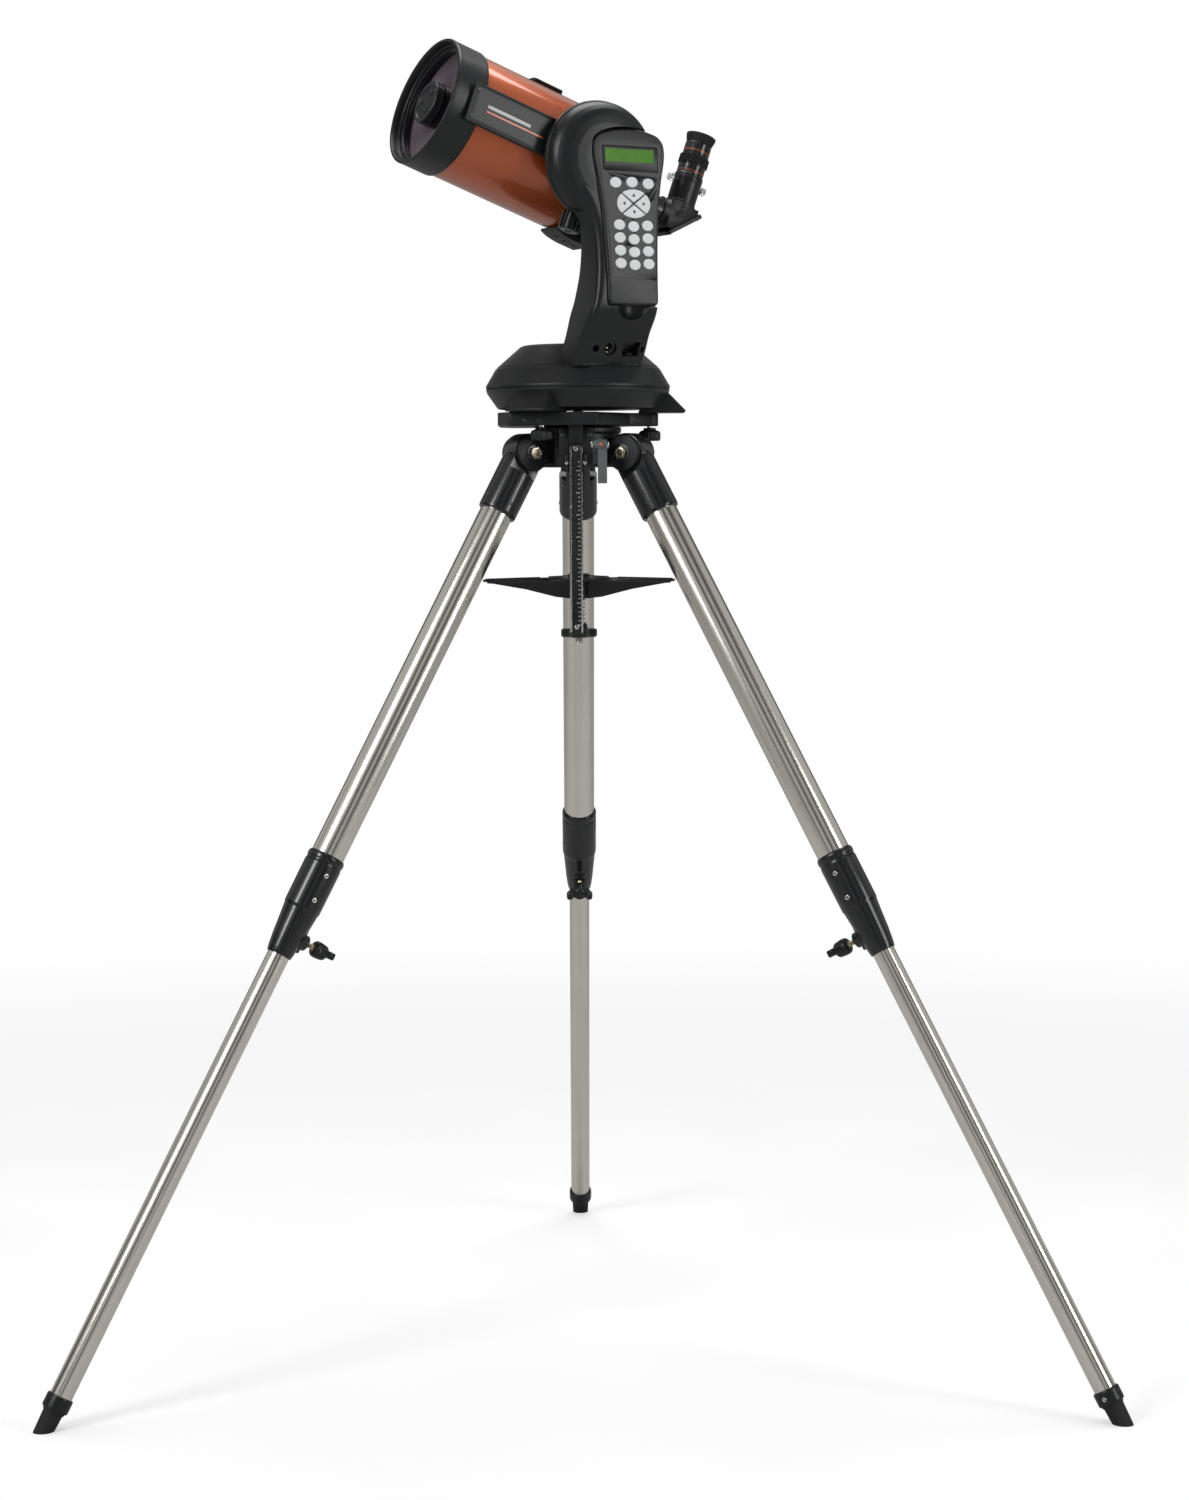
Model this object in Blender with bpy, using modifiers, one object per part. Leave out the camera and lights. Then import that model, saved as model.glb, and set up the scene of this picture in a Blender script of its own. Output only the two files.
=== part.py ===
"""Catadioptric telescope on a one-armed computer mount, a tilt plate and a steel tripod.

Metres, +Z up. The tripod's axis stands on the floor a quarter of the foot circle behind the origin, which
puts the origin at the middle of the whole footprint. The rear leg points along +Y.
"""

import math

import bmesh
import bpy
from mathutils import Matrix, Vector

MM = 0.001
GAP = 0.3 * MM
# Share of each turned piece's full facet count that is kept in this plain model.
FACET_SHARE = 0.55

# Tripod
LEG_ANGLE = math.radians(29.85)
LEG_AZIMUTHS = [math.radians(a) for a in (90, 210, 330)]
PIVOT_RADIUS = 69.5 * MM
PIVOT_HEIGHT = 1052 * MM
FOOT_RADIUS = 673.2 * MM
LEG_LENGTH = (FOOT_RADIUS - PIVOT_RADIUS) / math.sin(LEG_ANGLE)
UPPER_TUBE_R = 19.05 * MM
LOWER_TUBE_R = 12.7 * MM
WALL = 1.6 * MM
BRACKET_R = 22.5 * MM
BRACKET_END = 79.3 * MM
CLAMP_TOP = 518 * MM
CLAMP_END = 641 * MM
KNOB_STATION = 616 * MM
CAP_HEIGHT = 15 * MM
TONGUE = 14 * MM
EAR = 20.5 * MM
EAR_R = 20.5 * MM
PIN_R = 4 * MM

# Hub and tilt plate
HUB_BOTTOM = 1036 * MM
FLANGE_BOTTOM = 1076 * MM
FLANGE_TOP = 1081.8 * MM
PLATE_BOTTOM = 1083 * MM
PLATE_TOP = 1098 * MM
HINGE_Y = 92 * MM
HINGE_Z = (PLATE_BOTTOM + PLATE_TOP) / 2
KNUCKLE_R = 7.2 * MM
LUG_X = 22 * MM
SCREW_CIRCLE = 83 * MM
SCREW_AZIMUTHS = [math.radians(a) for a in (0, 120, 240)]
BAR_X = -3 * MM
BAR_Y = -77.6 * MM
BAR_PIN_Z = 1057 * MM
BAR_END_Z = 847 * MM
BAR_WIDTH = 15 * MM
BAR_THICK = 4 * MM
BAR_EYE_R = 4 * MM
BAR_HEAD = 3 * MM

# Tray
TRAY_R = 125 * MM
TRAY_Z = 905 * MM
ROD_R = 4.5 * MM

# Mount
MOUNT_TURN = math.radians(180 + 28.5)
BASE_BOTTOM = 1103 * MM
SPLIT_Z = 1126 * MM
BASE_TOP = 1176 * MM
BASE_R = 106.5 * MM
POST_R = 12 * MM
POST_TOP = 1158 * MM
AZIMUTH_WHEEL_R = 63.5 * MM
ALTITUDE_WHEEL_R = 31.5 * MM
TOOTH_DEPTH = 3.5 * MM

# Tube
ALTITUDE = math.radians(20)
ALTITUDE_X = 25 * MM
ALTITUDE_Z = 1383.1 * MM
TUBE_R = 71.8 * MM
CELL_R = 74.5 * MM
FRONT_RIM = 180.4 * MM
CELL_LENGTH = 39.5 * MM
TUBE_REAR = -34 * MM
REAR_FACE = -88 * MM
DIAGONAL_X = -167 * MM
NOSE_R = 15.875 * MM
SECONDARY_R = 25 * MM
SECONDARY_DEPTH = 10 * MM
CORRECTOR_R = 68 * MM
CORRECTOR_THICK = 4.8 * MM
RAIL_HALF = 22 * MM
RAIL_TOP = 80 * MM
CLAMP_KNOB_X = -4 * MM
CLAMP_KNOB_Y = 72.6 * MM
CLAMP_KNOB_R = 12.6 * MM
FOCUS_KNOB_OFFSET = 31 * MM

# Hand controller
PAD_X = -3.5 * MM
PAD_Y = 127 * MM
PAD_Z = 1216 * MM
PAD_LEAN = math.radians(4)
PAD_THICK = 13 * MM
KEY_SHIFT = 2.5
PANEL_X = 4 * MM
HEAD_X = 22 * MM
HEAD_DROP = 5.5 * MM
KEY_LOW = -1.6 * MM
KEY_HIGH = 1.5 * MM
KEY_FLOOR = -2.9 * MM

ALONG = (0, math.pi / 2, 0)
SIDEWAYS = (-math.pi / 2, 0, 0)

for old in list(bpy.data.objects):
    bpy.data.objects.remove(old, do_unlink=True)

SCENE = bpy.context.scene
PARTS = bpy.data.collections.new("telescope")
CUTTERS = bpy.data.collections.new("cutters")
SCENE.collection.children.link(PARTS)
SCENE.collection.children.link(CUTTERS)


def material(name, colour, roughness, metallic=0.0):
    made = bpy.data.materials.new(name)
    made.use_nodes = True
    shader = made.node_tree.nodes["Principled BSDF"]
    shader.inputs["Base Color"].default_value = (*colour, 1)
    shader.inputs["Roughness"].default_value = roughness
    shader.inputs["Metallic"].default_value = metallic
    return made


BLACK = material("black_casting", (0.03, 0.035, 0.035), 0.5)
GLOSS = material("gloss_black", (0.02, 0.02, 0.02), 0.2)
STEEL = material("polished_steel", (0.75, 0.74, 0.72), 0.2, 1.0)
RUBBER = material("rubber", (0.02, 0.02, 0.02), 0.9)
BRASS = material("brass", (0.8, 0.6, 0.3), 0.3, 1.0)
ORANGE = material("orange_paint", (0.5, 0.15, 0.03), 0.3, 0.6)
GLASS = material("coated_glass", (0.6, 0.55, 0.7), 0.05)
MIRROR = material("mirror", (0.95, 0.95, 0.95), 0.02, 1.0)
KEYS = material("pale_key", (0.7, 0.75, 0.76), 0.6)
DISPLAY = material("display", (0.1, 0.3, 0.08), 0.2)


def empty(name, location, rotation=(0, 0, 0), parent=None):
    made = bpy.data.objects.new(name, None)
    PARTS.objects.link(made)
    made.location = location
    made.rotation_euler = rotation
    made.parent = parent
    return made


def place(name, mesh, finish, parent, location=(0, 0, 0), rotation=(0, 0, 0)):
    """An object in the telescope's collection, or in the cutters' one when it has no finish."""
    made = bpy.data.objects.new(name, mesh)
    made.parent = parent
    made.location = location
    made.rotation_euler = rotation
    if finish is None:
        CUTTERS.objects.link(made)
        made.hide_render = True
        made.display_type = "WIRE"
    else:
        PARTS.objects.link(made)
        mesh.materials.append(finish)
    return made


def turned(name, profile, finish, parent, location=(0, 0, 0), rotation=(0, 0, 0), steps=36, ring=False):
    """A profile of (radius, height) turned about Z. It runs down the outer side; a ring closes on itself."""
    mesh = bpy.data.meshes.new(name)
    points = [(radius, 0, height) for radius, height in profile]
    edges = [(i, i + 1) for i in range(len(points) - 1)]
    if ring:
        edges.append((len(points) - 1, 0))
    mesh.from_pydata(points, edges, [])
    made = place(name, mesh, finish, parent, location, rotation)
    screw = made.modifiers.new("turn", "SCREW")
    facets = max(12, 2 * round(steps * FACET_SHARE / 2))
    screw.steps = facets
    screw.render_steps = facets
    screw.use_merge_vertices = True
    screw.merge_threshold = 0.00001
    screw.use_smooth_shade = True
    return made


def rod(name, radius, low, high, finish, parent, location=(0, 0, 0), rotation=(0, 0, 0), steps=24):
    profile = [(0, high), (radius, high), (radius, low), (0, low)]
    return turned(name, profile, finish, parent, location, rotation, steps)


def pipe(name, outer, inner, low, high, finish, parent, location=(0, 0, 0), rotation=(0, 0, 0), steps=36):
    profile = [(inner, high), (outer, high), (outer, low), (inner, low)]
    return turned(name, profile, finish, parent, location, rotation, steps, ring=True)


def box(name, low, high, finish, parent, bevel=0, location=(0, 0, 0), rotation=(0, 0, 0)):
    """A box between two corners of its parent's frame, with rounded edges if bevel is given."""
    low = Vector(low)
    high = Vector(high)
    shape = bmesh.new()
    bmesh.ops.create_cube(shape, size=1)
    size = Matrix.Diagonal((*(high - low), 1))
    bmesh.ops.transform(shape, matrix=Matrix.Translation((low + high) / 2) @ size, verts=shape.verts)
    mesh = bpy.data.meshes.new(name)
    shape.to_mesh(mesh)
    shape.free()
    made = place(name, mesh, finish, parent, location, rotation)
    if bevel:
        round_edges(made, bevel)
    return made


def round_edges(made, width, segments=2, angle=40):
    bevel = made.modifiers.new("round", "BEVEL")
    bevel.width = width
    bevel.segments = segments
    bevel.limit_method = "ANGLE"
    bevel.angle_limit = math.radians(angle)
    return bevel


def arc(centre, radius, start, end, count):
    """Points on an arc, in degrees, both ends included."""
    turns = [math.radians(start + (end - start) * i / count) for i in range(count + 1)]
    return [(centre[0] + radius * math.cos(t), centre[1] + radius * math.sin(t)) for t in turns]


def rounded(corners, radius, count=4):
    """A closed outline with each corner replaced by an arc that starts and ends a radius-based cut away."""
    outline = []
    total = len(corners)
    for i, corner in enumerate(corners):
        here = Vector(corner)
        before = (Vector(corners[i - 1]) - here).normalized()
        after = (Vector(corners[(i + 1) % total]) - here).normalized()
        half = math.acos(max(-1, min(1, before.dot(after)))) / 2
        reach = radius / math.tan(half)
        start = here + before * reach
        end = here + after * reach
        for k in range(count + 1):
            t = k / count
            outline.append(tuple(start * (1 - t) ** 2 + here * 2 * t * (1 - t) + end * t * t))
    return outline


def slab(name, outline, low, high, finish, parent, location=(0, 0, 0), rotation=(0, 0, 0), bevel=0):
    """A flat outline in XY, filled and extruded between two heights."""
    curve = bpy.data.curves.new(name, "CURVE")
    curve.dimensions = "2D"
    curve.fill_mode = "BOTH"
    curve.extrude = (high - low) / 2
    spline = curve.splines.new("POLY")
    spline.points.add(len(outline) - 1)
    for point, (x, y) in zip(spline.points, outline):
        point.co = (x, y, 0, 1)
    spline.use_cyclic_u = True
    drawn = bpy.data.objects.new(name + "_curve", curve)
    SCENE.collection.objects.link(drawn)
    graph = bpy.context.evaluated_depsgraph_get()
    mesh = bpy.data.meshes.new_from_object(drawn.evaluated_get(graph))
    bpy.data.objects.remove(drawn, do_unlink=True)
    shape = bmesh.new()
    shape.from_mesh(mesh)
    bmesh.ops.remove_doubles(shape, verts=shape.verts, dist=0.000001)
    bmesh.ops.translate(shape, vec=(0, 0, (low + high) / 2), verts=shape.verts)
    bmesh.ops.recalc_face_normals(shape, faces=shape.faces)
    shape.to_mesh(mesh)
    shape.free()
    mesh.name = name
    made = place(name, mesh, finish, parent, location, rotation)
    if bevel:
        round_edges(made, bevel)
    return made


def loft(name, sections, finish, parent, location=(0, 0, 0), rotation=(0, 0, 0)):
    """Rings of equal point counts joined in order and capped at both ends."""
    shape = bmesh.new()
    rings = [[shape.verts.new(point) for point in section] for section in sections]
    count = len(rings[0])
    for lower, upper in zip(rings, rings[1:]):
        for i in range(count):
            k = (i + 1) % count
            shape.faces.new((lower[i], lower[k], upper[k], upper[i]))
    shape.faces.new(list(reversed(rings[0])))
    shape.faces.new(rings[-1])
    bmesh.ops.recalc_face_normals(shape, faces=shape.faces)
    bmesh.ops.triangulate(shape, faces=shape.faces)
    mesh = bpy.data.meshes.new(name)
    shape.to_mesh(mesh)
    shape.free()
    return place(name, mesh, finish, parent, location, rotation)


def combine(target, other, operation):
    boolean = target.modifiers.new(operation.lower(), "BOOLEAN")
    boolean.operation = operation
    boolean.object = other
    boolean.solver = "EXACT"
    return boolean


def cut(target, *others):
    for other in others:
        combine(target, other, "DIFFERENCE")


def join(target, *others):
    for other in others:
        combine(target, other, "UNION")


def polar(radius, angle):
    return radius * math.cos(angle), radius * math.sin(angle)


AXIS = empty("tripod_axis", (0, -FOOT_RADIUS / 4, 0))


def make_hub():
    """Casting with three clevises, their pins, the front guide block and the hinge lugs of the tilt plate."""
    hub = rod("tripod_hub", 50 * MM, HUB_BOTTOM, FLANGE_TOP, BLACK, AXIS, steps=36)
    guide = box("guide_block", (-22 * MM, -73 * MM, 1038 * MM), (16 * MM, -40 * MM, FLANGE_TOP - MM),
                None, AXIS)
    cheeks = box("guide_cheeks", (-15.5 * MM, -92 * MM, 1030 * MM), (9.5 * MM, -60 * MM, 1050 * MM),
                 None, AXIS)
    shelf = box("rear_shelf", (-27 * MM, 30 * MM, FLANGE_BOTTOM), (27 * MM, 100 * MM, FLANGE_TOP - GAP),
                None, AXIS)
    join(hub, guide, cheeks, shelf)
    for side in (-1, 1):
        low = (side * LUG_X - 3.8 * MM, HINGE_Y - KNUCKLE_R + 0.5 * MM, FLANGE_BOTTOM + MM)
        high = (side * LUG_X + 3.8 * MM, HINGE_Y + KNUCKLE_R - 0.5 * MM, HINGE_Z)
        lug = box("hinge_lug", low, high, None, AXIS)
        eye = rod("hinge_eye", KNUCKLE_R, -4 * MM, 4 * MM, None, AXIS, (side * LUG_X, HINGE_Y, HINGE_Z),
                  ALONG, 20)
        join(hub, lug, eye)
    for angle in LEG_AZIMUTHS:
        turn = (0, 0, angle)
        high = (PIVOT_RADIUS, EAR - 0.4 * MM, PIVOT_HEIGHT + 17 * MM)
        web = box("ear_web", (20 * MM, 0.4 * MM - EAR, HUB_BOTTOM + 2 * MM), high, None, AXIS, rotation=turn)
        spot = (*polar(PIVOT_RADIUS, angle), PIVOT_HEIGHT)
        ears = rod("ears", EAR_R, -EAR, EAR, None, AXIS, spot, (math.pi / 2, 0, angle), 28)
        join(hub, web, ears)
    for angle in LEG_AZIMUTHS:
        turn = (0, 0, angle)
        low = (PIVOT_RADIUS - BRACKET_R - MM, -TONGUE - GAP, HUB_BOTTOM - 10 * MM)
        high = (PIVOT_RADIUS + 30 * MM, TONGUE + GAP, FLANGE_BOTTOM - 0.5 * MM)
        slot = box("tongue_slot", low, high, None, AXIS, rotation=turn)
        cut(hub, slot)
        spot = (*polar(PIVOT_RADIUS, angle), PIVOT_HEIGHT)
        pin = rod("clevis_pin", PIN_R, -EAR + MM, EAR - MM, None, AXIS, spot, (math.pi / 2, 0, angle), 16)
        join(hub, pin)
    bore = rod("rod_bore", ROD_R + 0.5 * MM, HUB_BOTTOM - MM, FLANGE_TOP + MM, None, AXIS, steps=20)
    guide_slot = box("bar_slot", (BAR_X - 8.5 * MM, -100 * MM, 1020 * MM),
                     (BAR_X + 8.5 * MM, -67.5 * MM, 1090 * MM), None, AXIS)
    cut(hub, bore, guide_slot)
    hinge_pin = rod("hinge_pin", 2.5 * MM, -24 * MM, 24 * MM, None, AXIS, (0, HINGE_Y, HINGE_Z),
                    ALONG, 16)
    join(hub, hinge_pin)


def make_leg(number, angle):
    """One leg. Its frame has the clevis pin's axis as Y and the leg's foot towards -Z; -X faces inward."""
    end = f"_{number}"
    leg = empty("leg_pivot" + end, (*polar(PIVOT_RADIUS, angle), PIVOT_HEIGHT), (0, -LEG_ANGLE, angle), AXIS)
    bracket = rod("leg_bracket" + end, BRACKET_R, -BRACKET_END, -6 * MM, GLOSS, leg, steps=32)
    sideways = (math.pi / 2, 0, 0)
    nose = rod("bracket_nose", BRACKET_R, -TONGUE, TONGUE, None, leg, rotation=sideways, steps=28)
    join(bracket, nose)
    for side in (-1, 1):
        near = side * TONGUE
        far = side * LUG_X
        flat = box("tongue_flat", (-30 * MM, min(near, far), -28 * MM), (30 * MM, max(near, far), 30 * MM),
                   None, leg)
        cut(bracket, flat)
    socket = rod("bracket_socket", UPPER_TUBE_R + GAP, -BRACKET_END - MM, -34 * MM, None, leg, steps=32)
    eye = rod("pin_eye", PIN_R + GAP, -20 * MM, 20 * MM, None, leg, rotation=sideways, steps=16)
    cut(bracket, socket, eye)
    pipe("upper_tube" + end, UPPER_TUBE_R, UPPER_TUBE_R - WALL, -CLAMP_TOP - 60 * MM, -35 * MM, STEEL, leg,
         steps=32)

    waist = CLAMP_TOP + 72 * MM
    profile = [
        (UPPER_TUBE_R + GAP, -CLAMP_TOP),
        (20.3 * MM, -CLAMP_TOP),
        (21.5 * MM, -CLAMP_TOP - 3 * MM),
        (21.2 * MM, -CLAMP_TOP - 64 * MM),
        (18.5 * MM, -waist - 8 * MM),
        (17 * MM, -CLAMP_END + 20 * MM),
        (15.2 * MM, -CLAMP_END + 4 * MM),
        (14.2 * MM, -CLAMP_END),
        (LOWER_TUBE_R + GAP, -CLAMP_END),
        (LOWER_TUBE_R + GAP, -CLAMP_TOP - 62 * MM),
        (UPPER_TUBE_R + GAP, -CLAMP_TOP - 62 * MM),
    ]
    clamp = turned("leg_clamp" + end, profile, BLACK, leg, steps=32, ring=True)
    inward = (0, -math.pi / 2, 0)
    spot = (0, 0, -KNOB_STATION)
    boss = rod("clamp_boss", 9 * MM, 14.5 * MM, 24 * MM, None, leg, spot, inward, 20)
    thread = rod("clamp_thread_hole", 3.3 * MM, 10 * MM, 30 * MM, None, leg, spot, inward, 16)
    join(clamp, boss)
    cut(clamp, thread)
    knob_profile = [
        (0, 53 * MM), (7 * MM, 53 * MM), (9 * MM, 50 * MM), (10 * MM, 38 * MM), (8 * MM, 34 * MM),
        (3 * MM, 34 * MM), (3 * MM, 14 * MM), (0, 14 * MM),
    ]
    knob = turned("clamp_knob" + end, knob_profile, BLACK, leg, spot, inward, 20)
    wings = box("knob_wings", (-4 * MM, -17 * MM, 39 * MM), (4 * MM, 17 * MM, 57 * MM), None, leg,
                location=spot, rotation=inward)
    join(knob, wings)

    foot_top = LEG_LENGTH - 40 * MM
    pipe("lower_tube" + end, LOWER_TUBE_R, LOWER_TUBE_R - WALL, -foot_top, -460 * MM, STEEL, leg, steps=28)
    foot_profile = [
        (0, -foot_top + 20 * MM),
        (LOWER_TUBE_R - WALL - GAP, -foot_top + 20 * MM),
        (LOWER_TUBE_R - WALL - GAP, -foot_top - GAP),
        (15 * MM, -foot_top - GAP),
        (15 * MM, -foot_top - CAP_HEIGHT),
        (13 * MM, -foot_top - CAP_HEIGHT - 2 * MM),
        (11.5 * MM, -LEG_LENGTH - 8 * MM),
        (0, -LEG_LENGTH - 8 * MM),
    ]
    foot = turned("foot_tip" + end, foot_profile, RUBBER, leg, steps=24)
    floor = box("floor_cut", (-1, -1, -0.1), (1, 1, 0), None, None)
    cut(foot, floor)


def make_tray():
    """Three-armed tray on a threaded rod, with the spring and the lobed knob that hold it up."""
    outline = []
    half_tip = 4 * MM
    for angle in LEG_AZIMUTHS:
        for side in (-1, 1):
            spread = math.asin(half_tip / TRAY_R) * side
            outline.append(polar(TRAY_R, angle + spread))
        waist = angle + math.radians(60)
        for k in range(-3, 4):
            outline.append(polar((38 + 4.6 * k * k) * MM, waist + math.radians(11 * k)))
    tray = slab("accessory_tray", outline, TRAY_Z, TRAY_Z + 3 * MM, BLACK, AXIS)
    for angle in LEG_AZIMUTHS:
        rib = [(8 * MM, -22 * MM), (112 * MM, -2 * MM), (112 * MM, 1.5 * MM), (8 * MM, 1.5 * MM)]
        web = slab("tray_rib", rib, -1.5 * MM, 1.5 * MM, None, AXIS, (0, 0, TRAY_Z), (math.pi / 2, 0, angle))
        join(tray, web)
    boss = rod("tray_boss", 13 * MM, TRAY_Z - 21 * MM, TRAY_Z + 8 * MM, None, AXIS, steps=24)
    bore = rod("tray_bore", ROD_R + 0.4 * MM, TRAY_Z - 30 * MM, TRAY_Z + 20 * MM, None, AXIS, steps=20)
    join(tray, boss)
    cut(tray, bore)

    rod("tray_rod", ROD_R, 831 * MM, FLANGE_TOP - MM, STEEL, AXIS, steps=20)

    turns = 5
    low = 856 * MM
    high = TRAY_Z - 22.5 * MM
    curve = bpy.data.curves.new("tray_spring", "CURVE")
    curve.dimensions = "3D"
    curve.bevel_depth = 0.8 * MM
    curve.bevel_resolution = 0
    curve.use_fill_caps = True
    spline = curve.splines.new("POLY")
    steps = turns * 10
    spline.points.add(steps)
    for i, point in enumerate(spline.points):
        share = i / steps
        x, y = polar(6.7 * MM, share * turns * 2 * math.pi)
        point.co = (x, y, low + (high - low) * share, 1)
    drawn = bpy.data.objects.new("spring_curve", curve)
    SCENE.collection.objects.link(drawn)
    graph = bpy.context.evaluated_depsgraph_get()
    mesh = bpy.data.meshes.new_from_object(drawn.evaluated_get(graph))
    bpy.data.objects.remove(drawn, do_unlink=True)
    shape = bmesh.new()
    shape.from_mesh(mesh)
    bmesh.ops.remove_doubles(shape, verts=shape.verts, dist=0.000001)
    bmesh.ops.recalc_face_normals(shape, faces=shape.faces)
    shape.to_mesh(mesh)
    shape.free()
    place("tray_spring", mesh, STEEL, AXIS)

    outline = []
    points = 30
    for i in range(points):
        angle = 2 * math.pi * i / points
        outline.append(polar((18.5 + 4.5 * math.cos(3 * angle)) * MM, angle + math.radians(30)))
    knob = slab("tray_knob", outline, 838.5 * MM, 848.5 * MM, BLACK, AXIS)
    neck = rod("knob_neck", 9.5 * MM, 845 * MM, 855 * MM, None, AXIS, steps=24)
    bore = rod("knob_bore", ROD_R + 0.3 * MM, 830 * MM, 860 * MM, None, AXIS, steps=20)
    join(knob, neck)
    cut(knob, bore)


def make_tilt_plate():
    """Plate hinged at the rear of the hub, its latitude bar, lock lever and three captive knobs."""
    hinge = empty("tilt_hinge", (0, HINGE_Y, HINGE_Z), parent=AXIS)
    outline = [(-92, -52), (-78, -86), (22, -86), (26, -70), (60, -18)]
    outline += arc((83, 0), 10, -90, 90, 6)
    outline += [(60, 18), (44, 60), (24, 83), (-78, 83), (-92, 52)]
    outline = [(x * MM, y * MM - HINGE_Y) for x, y in outline]
    plate = slab("tilt_plate", outline, PLATE_BOTTOM - HINGE_Z, PLATE_TOP - HINGE_Z, BLACK, hinge)
    knuckle = rod("plate_knuckle", KNUCKLE_R, -17.5 * MM, 17.5 * MM, None, hinge, rotation=ALONG, steps=20)
    neck = box("plate_neck", (-16.5 * MM, -12 * MM, -5 * MM), (16.5 * MM, 0, 5 * MM), None, hinge)
    lug_low = (BAR_X - 5 * MM, BAR_Y - HINGE_Y - 0.6 * MM, BAR_PIN_Z - HINGE_Z)
    lug_high = (BAR_X + 5 * MM, BAR_Y - HINGE_Y + 3.4 * MM, PLATE_BOTTOM - HINGE_Z + MM)
    lug = box("bar_lug", lug_low, lug_high, None, hinge)
    lug_eye = rod("bar_lug_eye", BAR_EYE_R, -5.5 * MM, 5.5 * MM, None, hinge,
                  (BAR_X, BAR_Y - HINGE_Y, BAR_PIN_Z - HINGE_Z), ALONG, 24)
    join(plate, knuckle, neck, lug, lug_eye)
    centre = rod("centre_pin", 6 * MM, PLATE_TOP - HINGE_Z - 2 * MM, BASE_BOTTOM - HINGE_Z - GAP, None, hinge,
                 (0, -HINGE_Y, 0), steps=20)
    join(plate, centre)
    for angle in SCREW_AZIMUTHS:
        x, y = polar(SCREW_CIRCLE, angle)
        hole = rod("screw_hole", 3.4 * MM, -40 * MM, 40 * MM, None, hinge, (x, y - HINGE_Y, 0), steps=16)
        cut(plate, hole)
    eye = rod("knuckle_bore", 2.5 * MM + GAP, -60 * MM, 60 * MM, None, hinge, rotation=ALONG, steps=16)
    cut(plate, eye)

    pin = empty("bar_pin", (BAR_X, BAR_Y, BAR_PIN_Z), parent=AXIS)
    half = BAR_WIDTH / 2
    front = -BAR_EYE_R - GAP
    low = (-half, front - BAR_THICK, BAR_END_Z - BAR_PIN_Z)
    bar = box("latitude_bar", low, (half, front, BAR_HEAD), GLOSS, pin, bevel=0.6 * MM)
    groove_low = (-half + 2.5 * MM, front - BAR_THICK - MM, BAR_END_Z - BAR_PIN_Z + 4 * MM)
    groove = box("bar_groove", groove_low, (half - 2.5 * MM, front - BAR_THICK + 0.8 * MM, 0), None, pin)
    cut(bar, groove)

    bolt = (27 * MM, -66 * MM, 1061 * MM)
    lever = rod("lock_lever", 6.5 * MM, -10.5 * MM, 6 * MM, STEEL, AXIS, bolt, ALONG, 20)
    handle = box("lever_handle", (-5 * MM, -14 * MM, -44 * MM), (5.5 * MM, -7 * MM, 2 * MM), None, AXIS,
                 location=bolt)
    root = box("lever_root", (-5 * MM, -12 * MM, -5 * MM), (5.5 * MM, -3 * MM, 5 * MM), None, AXIS,
               location=bolt)
    join(lever, root, handle)

    for number, angle in enumerate(SCREW_AZIMUTHS, 1):
        x, y = polar(SCREW_CIRCLE, angle)
        profile = [
            (0, 24 * MM), (3 * MM, 24 * MM), (3 * MM, -2 * MM), (7 * MM, -2 * MM), (7 * MM, -5 * MM),
            (11 * MM, -6 * MM), (12.5 * MM, -8 * MM), (12.5 * MM, -15 * MM), (11 * MM, -17 * MM),
            (0, -17 * MM),
        ]
        turned(f"mounting_knob_{number}", profile, BLACK, hinge, (x, y - HINGE_Y, PLATE_BOTTOM - HINGE_Z),
               steps=24)


make_hub()
for number, angle in enumerate(LEG_AZIMUTHS, 1):
    make_leg(number, angle)
make_tray()
make_tilt_plate()


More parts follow.
